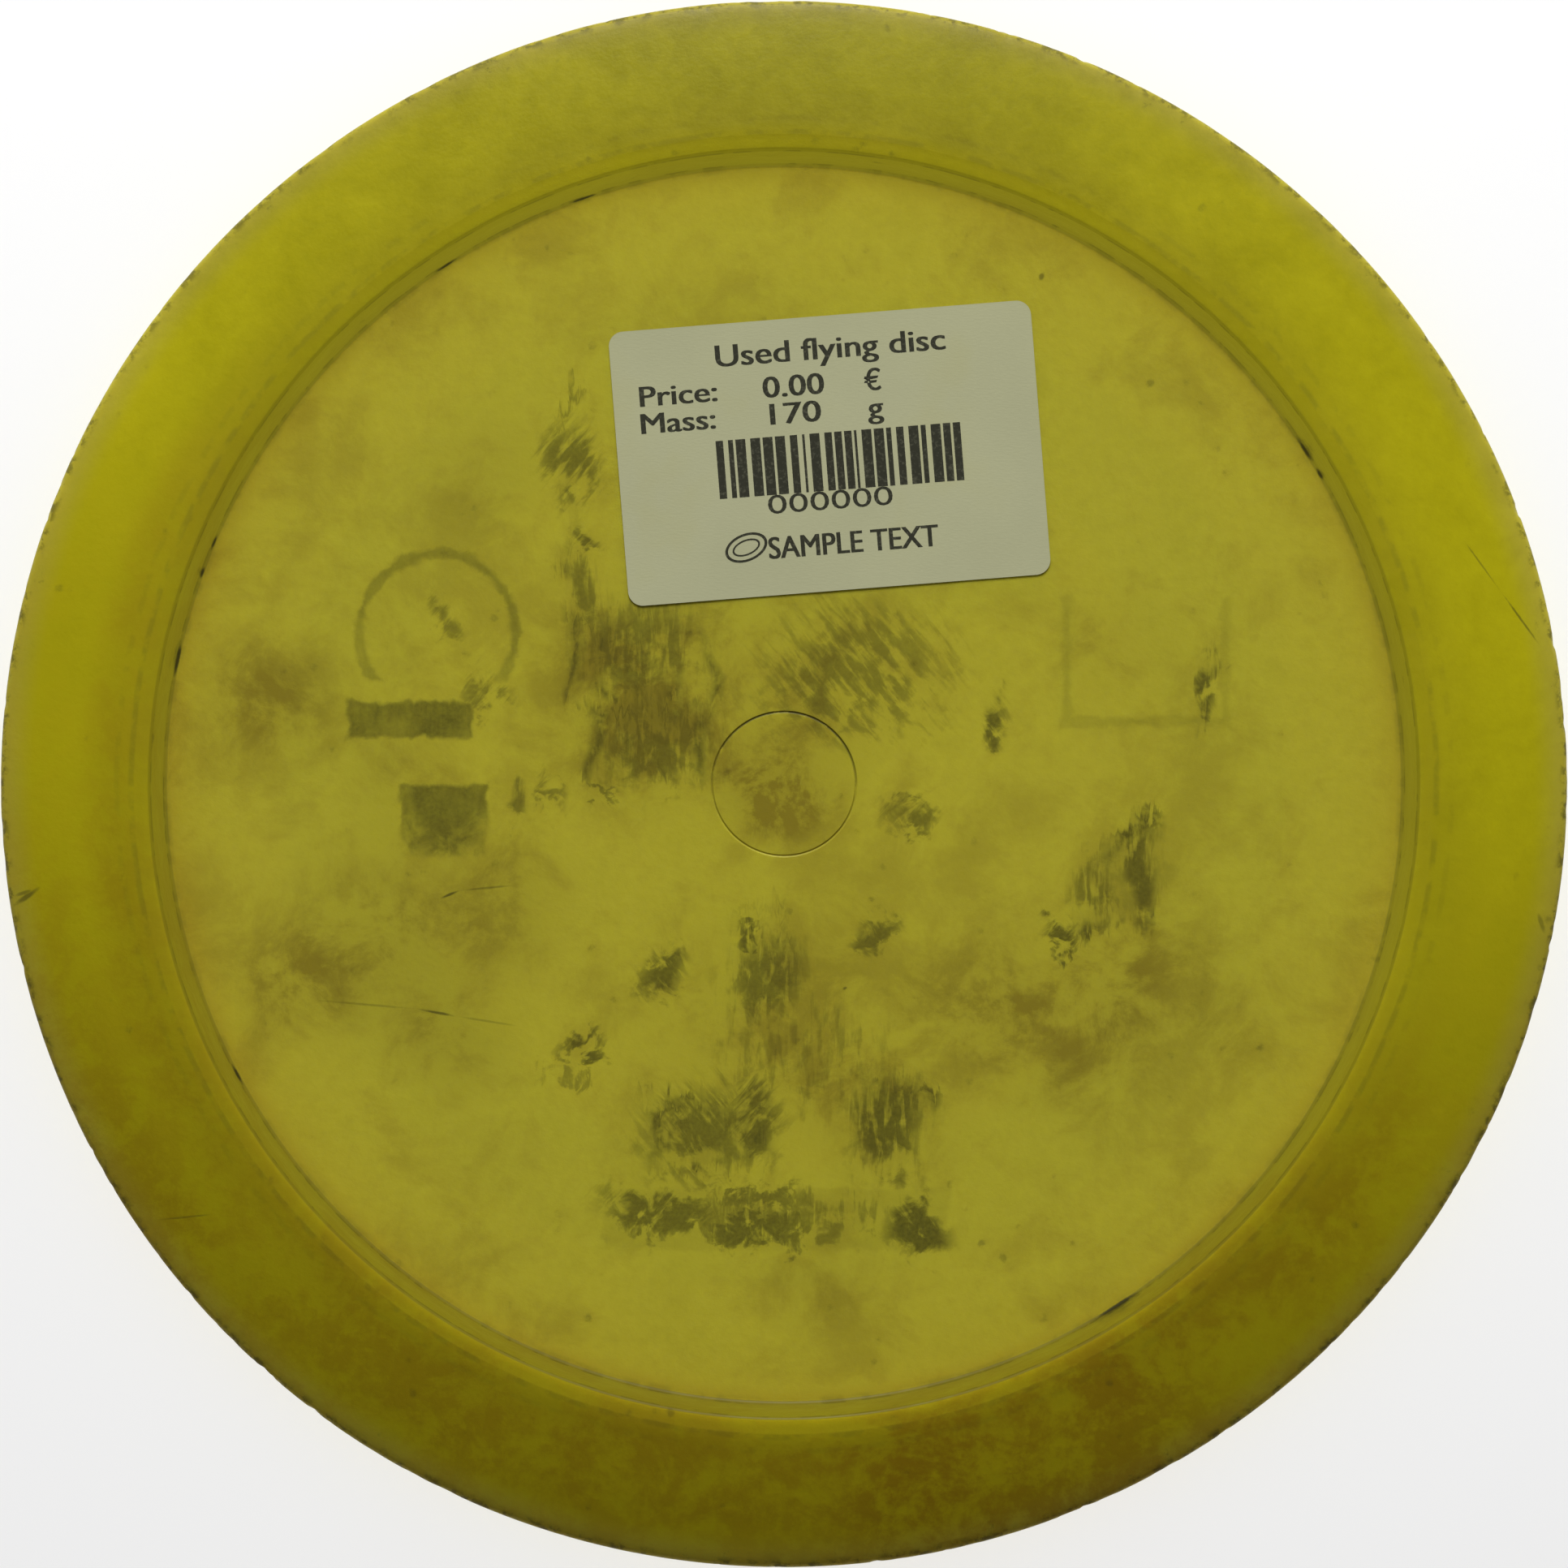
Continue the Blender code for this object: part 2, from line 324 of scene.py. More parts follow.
def wedge_distance(x, y, corners):
    """A convex, counter-clockwise polygon."""
    result = None
    for (ax, ay), (bx, by) in zip(corners, corners[1:] + corners[:1]):
        length = math.hypot(bx - ax, by - ay)
        slope_x, slope_y = (by - ay) / length, (ax - bx) / length
        side = (x * slope_x + y * slope_y) - (ax * slope_x + ay * slope_y)
        result = side if result is None else result.most(side)
    return result


def untilted(width, height, degrees):
    """The half sides of a box from those of the upright box around it."""
    c, s = math.cos(math.radians(abs(degrees))), math.sin(math.radians(abs(degrees)))
    return (width * c - height * s) / (c * c - s * s) / 2, (height * c - width * s) / (c * c - s * s) / 2


# ---- the stamp

FOIL_LINE_MM = 1.2
FLAT_ON_PLATE = (1.0, 1.0, 1e4)
STROKE, STROKE_TURNS = (5.0, 1.0, 1e4), (90.0, -52.0, 48.0)
# Islands that keep a crisp outline, and how strongly each still shows
CRISP_NODES = {"foil_arc": 0.60, "foil_bar": 1.0, "foil_frame": 0.30, "foil_patch": 0.95, "foil_base_band": 0.20}
PATCH_LEFT_MM = ((-46, -0.5), (10.5, 11))
BLOCK_TURNS = {
    "foil_left_block": 6.0, "foil_right_block": -8.0, "foil_bar": 0.0, "foil_patch": 0.0, "foil_base_band": 0.0}
COMB_TEETH = {"foil_upper_comb": (5, 1.7), "foil_lower_comb": (4, 1.9)}
LADDER_TURN = 98.0
# How far wear drags an outline: sideways, along the strokes, and with the blotches
DRAG_MM = (9.0, 15.0, 14.0)
LADDER_SIZE_MM = (13.5, 10.0, 6, 1.1)
ZIGZAG_SIZE_MM = (1.63, 4.76, 6)
ZIGZAG_START_MM = 0.2
WEDGE_SHARES = ((0.0, 0.0), (1.0, 0.295), (0.944, 1.0), (0.553, 0.974))

# Rubbed strokes of foil too faint to be pieces of their own: centre, half sizes, turn, stroke (0 up the
# plate, 1 and 2 slanting each way), cover, darkness
FLECKS_MM = (
    ((9.5, 16), (16.5, 12), 0, 1, 0.66, 0.58),
    ((-19.5, 19.5), (11, 8.5), 0, 0, 0.72, 0.62),
    ((-17.5, 6.5), (11, 8), 0, 0, 0.74, 0.62),
    ((-28.6, 43.5), (5, 8), 0, 2, 0.72, 0.72),
    ((-26.4, 33), (2.2, 3.2), 25, 2, 0.80, 0.80),
    ((-27, 27), (3.2, 8), 8, 0, 0.62, 0.66),
    ((29.5, 9), (2, 4.4), 0, 1, 0.86, 0.84),
    ((18.3, -4), (3.6, 2.8), 0, 2, 0.82, 0.72),
    ((-36.3, -1.6), (1.6, 3.4), 0, 0, 0.88, 0.66),
    ((-31.5, -1), (2.4, 2.4), 0, 2, 0.80, 0.60),
    ((-16.2, -25), (3.4, 4.4), -12, 1, 0.86, 0.84),
    ((-6, -20.6), (3, 1.8), 0, 0, 0.90, 0.86),
    ((-2.5, -26), (8, 8), 4, 0, 0.76, 0.72),
    ((13.3, -19.8), (2.8, 2.6), 0, 1, 0.88, 0.74),
    ((36.6, -20.6), (2.6, 2.3), 0, 2, 0.92, 0.88),
    ((42.2, -14.6), (4.6, 6), 0, 0, 0.70, 0.66),
    ((48.6, -12), (2.6, 9.5), 6, 0, 0.84, 0.80),
    ((57.4, 13), (1.7, 6.8), -12, 0, 0.80, 0.86),
    ((-27.6, -35.4), (4.4, 2), 0, 2, 0.88, 0.88),
    ((-29.6, -39.6), (5, 1.6), 0, 0, 0.66, 0.50),
    ((-12, -47), (10, 8), 0, 1, 0.74, 0.74),
    ((-4.5, -46), (5, 8), 0, 2, 0.70, 0.80),
    ((14.5, -46.5), (7, 9), 4, 0, 0.82, 0.82),
    ((-2, -58.6), (27, 4.6), 0, 0, 0.62, 0.62),
    ((-16.5, -58.6), (11, 3.2), -8, 2, 1.02, 0.80),
    ((-4, -60.2), (12, 3), 1, 0, 1.00, 0.84),
    ((-4, -56.2), (8, 1.6), -4, 0, 0.98, 0.72),
    ((18, -60.2), (5.6, 4), -16, 1, 1.08, 0.90),
    ((-41, 13), (4, 4), 0, 2, 0.55, 0.60),
    ((-47.5, 23), (2.4, 4.4), 20, 2, 0.66, 0.60),
    ((2, -36), (17, 10), 0, 0, 0.44, 0.42),
    ((-24, -1), (4, 1.6), 0, 1, 0.70, 0.62),
)


def stamp_distances(graph, place, dragged):
    """Distance to the edge of each foil island, inside it below 0, from its CAD node's place.

    The crisp islands keep their outline; the others are drawn in the dragged place.
    """
    found = {}
    line = FOIL_LINE_MM

    def island(name):
        low, high = (Vector(corner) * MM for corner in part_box(name))
        return low, high, high.x - low.x, high.y - low.y

    def seen_from(name, x, y, degrees=0.0):
        u, v = graph.turned(place if name in CRISP_NODES else dragged, degrees)
        c, s = math.cos(math.radians(degrees)), math.sin(math.radians(degrees))
        return u - (x * c + y * s), v - (y * c - x * s)

    for name, degrees in BLOCK_TURNS.items():
        low, high, width, height = island(name)
        u, v = seen_from(name, low.x + width / 2, low.y + height / 2, degrees)
        found[name] = box_distance(u, v, *untilted(width, height, degrees))
    for name, (teeth, tooth) in COMB_TEETH.items():
        low, high, width, height = island(name)
        found[name] = comb_distance(*seen_from(name, low.x, high.y), width, height, teeth, tooth, line)
    low = island("foil_ladder")[0]
    start = low.x - LADDER_SIZE_MM[0] * math.cos(math.radians(LADDER_TURN))
    found["foil_ladder"] = comb_distance(*seen_from("foil_ladder", start, low.y, LADDER_TURN), *LADDER_SIZE_MM, line)
    low, high, width, height = island("foil_arc")
    radius = (width - line) / 2
    middle = high.y - radius - line / 2
    found["foil_arc"] = arc_distance(
        *seen_from("foil_arc", low.x + width / 2, middle), radius, line, low.y - middle)
    low, high, width, height = island("foil_zigzag")
    u, v = seen_from("foil_zigzag", low.x + width / 2, low.y + ZIGZAG_START_MM)
    found["foil_zigzag"] = zigzag_distance(u, v, *ZIGZAG_SIZE_MM, line)
    low, high, width, height = island("foil_frame")
    u, v = seen_from("foil_frame", low.x + width / 2, low.y + height / 2)
    hollow = box_distance(u, v - line, width / 2 - line, height / 2)
    found["foil_frame"] = box_distance(u, v, width / 2, height / 2).most(hollow * -1.0)
    low, high, width, height = island("foil_wedge")
    corners = [(low.x + width * u, low.y + height * v) for u, v in WEDGE_SHARES]
    x, y, _ = graph.split(dragged)
    found["foil_wedge"] = wedge_distance(x, y, corners)
    return found


def worn_fields(graph, point):
    """Noise that the wear follows: blotches, and strokes up the plate and slanting each way."""
    blotches = grain_of(graph, point, 0.30, 4.0, 0.60, 0.5, stretch=FLAT_ON_PLATE)
    strokes = [grain_of(graph, point, 0.85, 3.0, 0.62, 0.35, degrees, STROKE) for degrees in STROKE_TURNS]
    return blotches, strokes


def stamp_cover(graph, point, place, softness):
    """How much foil shows: the islands, broken up by wear, and the rubbed strokes between them."""
    blotches, strokes = worn_fields(graph, point)
    aside = (grain_of(graph, point, 0.11, 1.0) - 0.5) * DRAG_MM[0]
    dragged, nudged = (
        graph.vector("ADD", place, graph.joined(aside, (field - 0.5) * reach, 0.0))
        for field, reach in ((strokes[0], DRAG_MM[1]), (blotches, DRAG_MM[2])))
    soft_edge = (blotches - 0.5) * 2.6
    crisp = rough = None
    for name, distance in stamp_distances(graph, place, dragged).items():
        if name in CRISP_NODES:
            shown = (distance + soft_edge).step(softness * 1.8, -softness * 1.2, CRISP_NODES[name])
            if name == "foil_patch":
                shown = shown * graph.oval(nudged, *PATCH_LEFT_MM).step(1.15, 0.55)
            crisp = shown if crisp is None else crisp.most(shown)
            continue
        rough = distance if rough is None else rough.least(distance)
    wear = blotches * 0.60 + strokes[0] * 0.40
    ragged = rough + (wear - 0.5) * 6.0
    fade = grain_of(graph, point, 0.075).step(0.38, 0.58) * 0.62 + 0.28
    cover = ragged.step(softness * 2.5, -softness * 2.5) * (0.22 + wear.step(0.40, 0.58) * 0.78) * fade
    cover = cover.most(crisp * (wear * 0.90 + fade * 0.30 + 0.04))
    fields = [blotches * 0.42 + stroke * 0.58 for stroke in strokes]
    for centre, half, degrees, stroke, share, darkness in FLECKS_MM:
        spot = graph.oval(nudged, centre, half, degrees).step(1.25, 0.30)
        edge = 0.76 - 0.26 * share
        kept = fields[stroke].plus(0.13, spot).step(edge - 0.07, edge + 0.09, darkness)
        cover = cover.most(kept * spot)
    return cover


# ---- materials

def new_material(name):
    """A material with only a Principled shader and its output, and its graph."""
    material = bpy.data.materials.new(name)
    material.use_nodes = True
    graph = Graph(material.node_tree)
    shader = material.node_tree.nodes["Principled BSDF"]
    return material, graph, shader


def feed(graph, shader, **values):
    """Give the shader's sockets their values or links; an underscore stands for a space."""
    for name, value in values.items():
        graph.give(shader.inputs[name.replace("_", " ")], value)


def object_point(graph):
    """The Object coordinate, and the same in millimetres."""
    point = graph.node("ShaderNodeTexCoord", output=3)
    return point, graph.scaled(point, (MM, MM, MM))


def grain_of(graph, point, per_mm, detail=2.0, roughness=0.5, distortion=0.0, turn=0.0, stretch=(1.0, 1.0, 1.0)):
    """Noise with this many waves to a millimetre, stretched along turned axes."""
    if turn or stretch != (1.0, 1.0, 1.0):
        point = graph.node("ShaderNodeMapping", {"vector_type": "TEXTURE"}, {
            "Vector": point, "Rotation": (0.0, 0.0, math.radians(turn)), "Scale": stretch})
    return graph.noise(point, per_mm * MM, detail, roughness, distortion)


# Cuts and scratches in the plastic: start, end, width, depth of colour
SCRATCHES_MM = (
    ((-64, -29.4), (-50, -30.6), 0.20, 0.30),
    ((-50, -30.6), (-44.6, -31.6), 0.24, 0.70),
    ((-44.6, -31.6), (-35.8, -33), 0.20, 0.30),
    ((-46.8, -15.6), (-44.2, -14.5), 0.22, 0.75),
    ((-44.2, -14.5), (-36.8, -13.8), 0.20, 0.45),
    ((91, 32.8), (96.2, 25.8), 0.16, 0.45),
    ((96.2, 25.8), (101.6, 18.6), 0.20, 0.60),
    ((-103.6, -16.4), (-99.8, -13.8), 0.42, 0.62),
    ((-103.4, -15), (-100.8, -14.2), 0.30, 0.50),
    ((-84.5, -58.6), (-76, -57.6), 0.18, 0.35),
    ((34.6, 69.2), (35.5, 68.9), 0.62, 0.55),
    ((101.2, -17), (102.4, -20.4), 0.40, 0.40),
    ((8.2, -27.6), (8.4, -28), 0.36, 0.60),
)

# Dark splits in the corner between plate and wall: middle angle and half length in degrees, half width
CORNER_SPLITS = (
    (32.8, 1.5, 0.30), (30, 0.7, 0.26), (157, 1, 0.22), (160, 0.6, 0.26), (168.4, 2.2, 0.28),
    (-57.5, 3, 0.32), (-152, 1.2, 0.22), (109, 1.6, 0.18), (123, 1.5, 0.18),
)

SPLIT_DEPTH = 0.92
# How much of its colour the steep inner wall loses, so that it barely catches the lamp, and the painted glow it has
# instead
WALL_SHADED, WALL_PAINTED_GLOW = 0.96, 0.74

# Clouds of ground-in dirt on the plate: middle, half sizes, strength
CLOUDS_MM = (
    ((-70, 11.5), (9.5, 10), 0.55),
    ((-52, -22), (19, 15), 0.62),
    ((-38, -16), (11, 10), 0.45),
    ((-45, -36), (9, 7), 0.50),
    ((-66, -28), (10, 8), 0.40),
    ((-52, 2), (9, 9), 0.35),
    ((-19, 12), (13, 16), 0.42),
    ((8, 15), (14, 11), 0.40),
    ((-1.5, -2), (7.5, 6), 0.85),
    ((0, 1), (10.5, 10), 0.62),
    ((-16, 14), (20, 18), 0.35),
    ((0, -34), (22, 18), 0.34),
    ((38, -34), (15, 12), 0.55),
    ((48, -24), (12, 10), 0.40),
    ((27, -29), (11, 9), 0.45),
    ((14, -45), (12, 10), 0.38),
    ((-14, -50), (10, 9), 0.30),
    ((62, -32), (8, 8), 0.25),
    ((5, -70), (9, 6), 0.25),
    ((46, 18), (10, 9), 0.25),
    ((-40, 42), (10, 9), 0.25),
)

# Grime and painted shade on the rim, darkest towards -y, the side turned from the key light: middle angle and half
# width in degrees, innermost and outermost radius, strength
RIM_DIRT_AND_SHADE = (
    (-90, 62, 84, 106, 0.36),
    (-70, 15, 86, 108, 0.24),
    (-152, 26, 84, 104, 0.10),
    (176, 36, 82, 93, 0.18),
    (186, 34, 88, 109, 0.15),
    (-104, 30, 88, 101, 0.16),
    (-42, 20, 85, 96, 0.16),
    (-28, 22, 90, 109, 0.14),
    (205, 20, 97, 109, 0.12),
)


def angle_window(graph, heading, middle, half):
    """1 near a direction from the disc's middle, given in degrees, and 0 past half degrees."""
    towards = (math.cos(math.radians(middle)), math.sin(math.radians(middle)), 0.0)
    inner, outer = math.cos(math.radians(half * 0.35)), math.cos(math.radians(half * 1.25))
    return graph.vector("DOT_PRODUCT", heading, towards, output=1).step(outer, inner)


def ring_line(radius, at, width, top=1.0):
    """1 on a thin circle."""
    return abs(radius - at).step(width, width * 0.25, top)


def band(value, low, high, edge):
    """1 between low and high, fading over the edge."""
    middle, half = (low + high) / 2, (high - low) / 2
    return abs(value - middle).step(half + edge, half - edge)


def cut_marks(wall):
    """Each cut and corner split as an oval: middle, half sizes, turn, depth of colour."""
    marks = []
    for (ax, ay), (bx, by), width, depth in SCRATCHES_MM:
        turn = math.degrees(math.atan2(by - ay, bx - ax))
        marks.append((((ax + bx) / 2, (ay + by) / 2), (math.hypot(bx - ax, by - ay) / 2, width), turn, depth))
    reach = wall - 0.2
    for middle, half, width in CORNER_SPLITS:
        turn = math.radians(middle)
        place = (reach * math.cos(turn), reach * math.sin(turn))
        marks.append((place, (reach * math.radians(half), width), middle + 90.0, SPLIT_DEPTH))
    return marks


def plastic_material(settings):
    """Yellow plastic: paler on the thin plate, scuffed at the nose, with dirt, cuts and the stamp behind, painted
    shade on the rim and near the wall, and a painted glow on the inner wall.
    """
    plastic, shape = settings.plastic, settings.shape
    material, graph, shader = new_material("used_yellow_plastic")
    point, place = object_point(graph)
    broad = grain_of(graph, point, 0.030, 3.0, 0.60, 0.3)
    middling = grain_of(graph, point, 0.10, 6.0, 0.70, 0.35)
    fine = grain_of(graph, point, 0.55, 4.0, 0.68)
    grain = grain_of(graph, point, 1.9)
    streaky = grain_of(graph, point, 0.30, 3.0, 0.6)
    scuffs = grain_of(graph, point, 0.42, 4.0, 0.72)
    flat = graph.scaled(place, (1.0, 1.0, 0.0))
    radius = graph.vector("LENGTH", flat, output=1)
    heading = graph.vector("NORMALIZE", flat)
    z = graph.vector("DOT_PRODUCT", place, (0.0, 0.0, 1.0), output=1)
    wall = (NOSE_RADIUS - shape.rim_width) * MM
    nose = NOSE_RADIUS * MM
    ring_start = wall + (RING_HEIGHT - shape.plate) * MM * math.tan(shape.wall_draft)
    ring_end = ring_start + shape.edge_ring * MM
    hollow_side = z.step(shape.plate * MM - 0.5, shape.plate * MM - 0.2)

    # Pigment: a fuller yellow where the plastic is thick, paler on the plate and where the nose is scuffed
    plate_share = radius.step(wall + 0.9, wall - 0.9)
    nose_share = radius.step(nose - 5.0, nose - 0.1)
    colour = graph.mixed(plastic.rim, plastic.plate, plate_share)
    colour = graph.mixed(colour, plastic.nose, nose_share * 0.85)

    # Mottle of handling, from palm-sized to a fraction of a millimetre, and painted shade that darkens the rim
    # towards +y
    painted_top_shade = (angle_window(graph, heading, 90.0, 60.0) * 0.25).plus(
        0.13, angle_window(graph, heading, 90.0, 30.0)) * radius.step(ring_start + 0.6, ring_start + 4.2)
    shade = broad * 0.24 + middling * 0.40 + fine * 0.20 + (0.58 - painted_top_shade)
    colour = graph.scaled(colour, shade)

    # Clouds of grime: on the plate, in a band each side of the edge ring, and along the rim; with painted shade on
    # the plate near the wall and on the rim towards -y
    patchy = (middling * 0.70 + fine * 0.30).step(0.40, 0.58)
    clouds = (broad * 0.45 + middling * 0.55).step(0.43, 0.62, 0.52)
    cloud_texture = patchy * 0.66 + 0.34
    for middle, half, strength in CLOUDS_MM:
        clouds = clouds.plus(cloud_texture, graph.oval(place, middle, half).step(1.35, 0.10, strength))
    grime_and_shade = clouds.least(1.0) * plate_share * 0.80
    lip = band(radius, wall - 2.0, ring_end + 1.4, 2.0) * (0.06 + middling * 0.44)
    lip = lip.most(radius.step(ring_end + 9.0, ring_end - 1.0, 0.20) * (1.0 - plate_share))
    # The plate also darkens smoothly over its last 10 mm towards the wall: painted shade of the wall
    grime_and_shade = grime_and_shade.most(lip).plus(plate_share, radius.step(wall - 10.0, wall - 1.0, 0.14))
    rim_texture = patchy * 0.80 + 0.48
    colour = graph.mixed(colour, plastic.grime_and_shade, grime_and_shade.held())
    grime_and_shade = rim_texture * 0.0
    # Brown grime on the rim, with painted shade that darkens it most towards -y
    for middle, half, inner, outer, strength in RIM_DIRT_AND_SHADE:
        where = angle_window(graph, heading, middle, half) * band(radius, inner, outer, 2.6) * strength
        grime_and_shade = grime_and_shade.plus(rim_texture, where)
    colour = graph.mixed(colour, plastic.rim_dirt_and_shade, grime_and_shade.held())

    # The worn stamp, seen through the plate
    behind = stamp_cover(graph, point, place, 0.30) * (grain * 0.4 + 0.80) * plate_share * hollow_side
    colour = graph.mixed(colour, plastic.stamp, (behind * plastic.show_through).held())

    # Dirt in the corner of the plate and along the edge ring, and a dark line round the gate, darker towards +y
    wander = radius.plus(1.0, (middling - 0.5) * 0.6)
    corner = ring_line(wander, wall - 0.3, 0.9) * (0.04 + streaky.step(0.44, 0.62, 0.16))
    corner = corner.most(ring_line(radius, wall + 0.1, 0.35) * streaky.step(0.46, 0.56, 0.34))
    corner = corner.most(ring_line(wander, ring_end + 0.3, 0.60) * streaky.step(0.40, 0.58, 0.20))
    corner = corner.most(ring_line(wander, ring_start + 0.2, 0.45, 0.06)) * z.step(
        RING_HEIGHT * MM - 1.0, RING_HEIGHT * MM - 0.2).most(z.step(shape.plate * MM + 1.3, shape.plate * MM + 0.5))
    corner = corner.most(ring_line(wander, ring_end + 2.3, 0.60) * streaky.step(0.54, 0.42, 0.09))
    upward = angle_window(graph, heading, 84.0, 78.0) * 0.66 + 0.16
    gate = ring_line(radius, shape.gate_ring * MM, 0.26) * upward * fine.step(0.28, 0.46)
    dirt = corner.most(gate) * hollow_side
    colour = graph.mixed(colour, plastic.soot, dirt)

    # Specks, cuts, and scuffs along the nose
    specks = graph.node("ShaderNodeTexVoronoi", values={"Vector": point, "Scale": 0.30 * MM})
    cuts = (specks + (fine - 0.5) * 0.5).step(0.22, 0.06, 0.35) * middling.step(0.52, 0.66)
    shaken = fine * 0.9 - 0.45
    for centre, half, turn, depth in cut_marks(wall):
        cuts = cuts.most((graph.oval(place, centre, half, turn) + shaken).step(1.1, 0.35, depth))
    at_edge = radius.step(nose - 1.5, nose - 0.25)
    cuts = cuts.most(at_edge * scuffs.step(0.47, 0.62, 0.68))
    cuts = cuts.most(scuffs.step(0.63, 0.74, 0.45) * radius.step(nose - 4.0, nose - 0.8))
    colour = graph.mixed(colour, plastic.soot, cuts)

    # The steep inner wall's colour is darkened so that it barely catches the lamp, and the same colour is added as
    # emission: a painted glow that stands in for light soaking through the thick rim, so the wall looks evenly lit.
    normal = graph.node("ShaderNodeNewGeometry", output=1)
    upright = graph.vector("DOT_PRODUCT", normal, (0.0, 0.0, 1.0), output=1)
    steep = upright.step(0.998, 0.92) * band(radius, wall - 1.1, ring_start + 0.9, 0.25) * hollow_side
    lit = graph.scaled(colour, 1.0 - steep * WALL_SHADED)
    glow = graph.scaled(colour, steep * WALL_PAINTED_GLOW)
    bump = graph.node("ShaderNodeBump", {}, {
        "Strength": 0.22, "Distance": 0.0004, "Height": fine * 0.6 - scuffs * at_edge})
    feed(
        graph, shader, Base_Color=lit, Normal=bump, Emission_Color=glow, Emission_Strength=1.0,
        Roughness=(middling * 0.25 + dirt * 0.2 + (plastic.roughness - 0.125)).held(),
        Subsurface_Weight=plastic.glow, Subsurface_Scale=0.005, Subsurface_Radius=(1.0, 0.85, 0.1),
        IOR=1.47, Specular_IOR_Level=0.08)
    return material


def paper_material(settings):
    """Thermal paper: fine fibres, a slight stain and grey handled edges."""
    label = settings.label
    material, graph, shader = new_material("thermal_paper")
    point, _ = object_point(graph)
    fibres = grain_of(graph, point, 1.3, 4.0, 0.65, stretch=(1.0, 0.33, 1.0))
    stain = grain_of(graph, point, 0.07, 3.0, 0.55)
    shade = 0.97 + (fibres - 0.5) * 0.08 + (stain - 0.5) * 0.16
    colour = graph.scaled((*label.paper,), shade)
    colour = graph.mixed(colour, (0.30, 0.28, 0.10), stain.step(0.52, 0.70) * 0.20)
    bump = graph.node("ShaderNodeBump", {}, {"Strength": 0.15, "Distance": 0.0001, "Height": fibres})
    feed(graph, shader, Base_Color=colour, Normal=bump, Roughness=0.62 + (fibres - 0.5) * 0.1,
         Specular_IOR_Level=0.3)
    return material


def ink_material(settings):
    """Thermal print, a little patchy."""
    material, graph, shader = new_material("thermal_ink")
    point, _ = object_point(graph)
    patches = grain_of(graph, point, 2.4, 3.0, 0.6)
    colour = graph.mixed(tuple(settings.label.ink), (0.09, 0.09, 0.055), patches.step(0.50, 0.75) * 0.6)
    feed(graph, shader, Base_Color=colour, Roughness=0.55 + (patches - 0.5) * 0.2, Specular_IOR_Level=0.3)
    return material


def foil_material(settings):
    """Stamped foil, dull and rubbed through to the plastic."""
    material, graph, shader = new_material("rubbed_foil")
    point, _ = object_point(graph)
    blotches, strokes = worn_fields(graph, point)
    kept = (strokes[0] * 0.45 + blotches * 0.55).step(0.44, 0.54)
    fine = grain_of(graph, point, 2.2)
    bare = graph.scaled((*settings.plastic.plate,), 0.9 + (fine - 0.5) * 0.2)
    colour = graph.mixed(bare, (0.050, 0.048, 0.030), kept * (0.75 + fine * 0.4))
    feed(graph, shader, Base_Color=colour, Metallic=kept * 0.5, Roughness=0.55 - kept * 0.15 + (fine - 0.5) * 0.2)
    return material


# ---- geometry helpers

def geometry_tree(name, inputs):
    """A Geometry Nodes tree with a geometry input and these named inputs: name, socket type, value."""
    tree = bpy.data.node_groups.new(name, "GeometryNodeTree")
    tree.interface.new_socket("Geometry", in_out="INPUT", socket_type="NodeSocketGeometry")
    tree.interface.new_socket("Geometry", in_out="OUTPUT", socket_type="NodeSocketGeometry")
    for label, kind, value in inputs:
        socket = tree.interface.new_socket(label, in_out="INPUT", socket_type=kind)
        if value is not None:
            socket.default_value = value
    graph = Graph(tree)
    group = tree.nodes.new("NodeGroupInput")
    return tree, graph, {socket.name: Field(graph, socket) for socket in group.outputs if socket.name}


def end_tree(graph, geometry, material):
    """Make instances real, set the material and send the geometry out."""
    geometry = graph.node("GeometryNodeRealizeInstances", values={"Geometry": geometry})
    geometry = graph.node("GeometryNodeSetMaterial", values={"Geometry": geometry, "Material": material})
    out = graph.tree.nodes.new("NodeGroupOutput")
    graph.tree.links.new(geometry.socket, out.inputs["Geometry"])


def in_scene(name, data):
    """An object with this data, linked into the scene."""
    made = bpy.data.objects.new(name, data)
    bpy.context.scene.collection.objects.link(made)
    return made


def evaluated_mesh(source):
    """A plain mesh of the source as its modifiers leave it."""
    bpy.context.view_layer.update()
    return bpy.data.meshes.new_from_object(source.evaluated_get(bpy.context.evaluated_depsgraph_get()))


def mesh_from(shape, name):
    """The bmesh as a new mesh; the bmesh goes."""
    mesh = bpy.data.meshes.new(name)
    shape.to_mesh(mesh)
    shape.free()
    return mesh


def grown_by(tree, data, name, values):
    """The tree's result on this data, as a new plain mesh object."""
    source = in_scene(name + "_source", data)
    modifier = source.modifiers.new("grow", "NODES")
    modifier.node_group = tree
    named = {item.name: item.identifier for item in tree.interface.items_tree if item.in_out == "INPUT"}
    for key, value in values.items():
        modifier[named[key]] = value
    mesh = evaluated_mesh(source)
    mesh.name = name
    bpy.data.objects.remove(source, do_unlink=True)
    return in_scene(name, mesh)


def tidy_mesh(mesh):
    """Weld the mesh's seams and turn its faces outwards."""
    shape = bmesh.new()
    shape.from_mesh(mesh)
    bmesh.ops.remove_doubles(shape, verts=shape.verts, dist=WELD)
    bmesh.ops.recalc_face_normals(shape, faces=shape.faces)
    shape.to_mesh(mesh)
    shape.free()


def smooth(mesh, degrees=30.0):
    """Smooth shading with sharp edges where the faces turn by more than this."""
    stored = mesh.attributes.get("custom_normal")
    if stored:
        mesh.attributes.remove(stored)
    mesh.shade_smooth()
    mesh.set_sharp_from_angle(angle=math.radians(degrees))


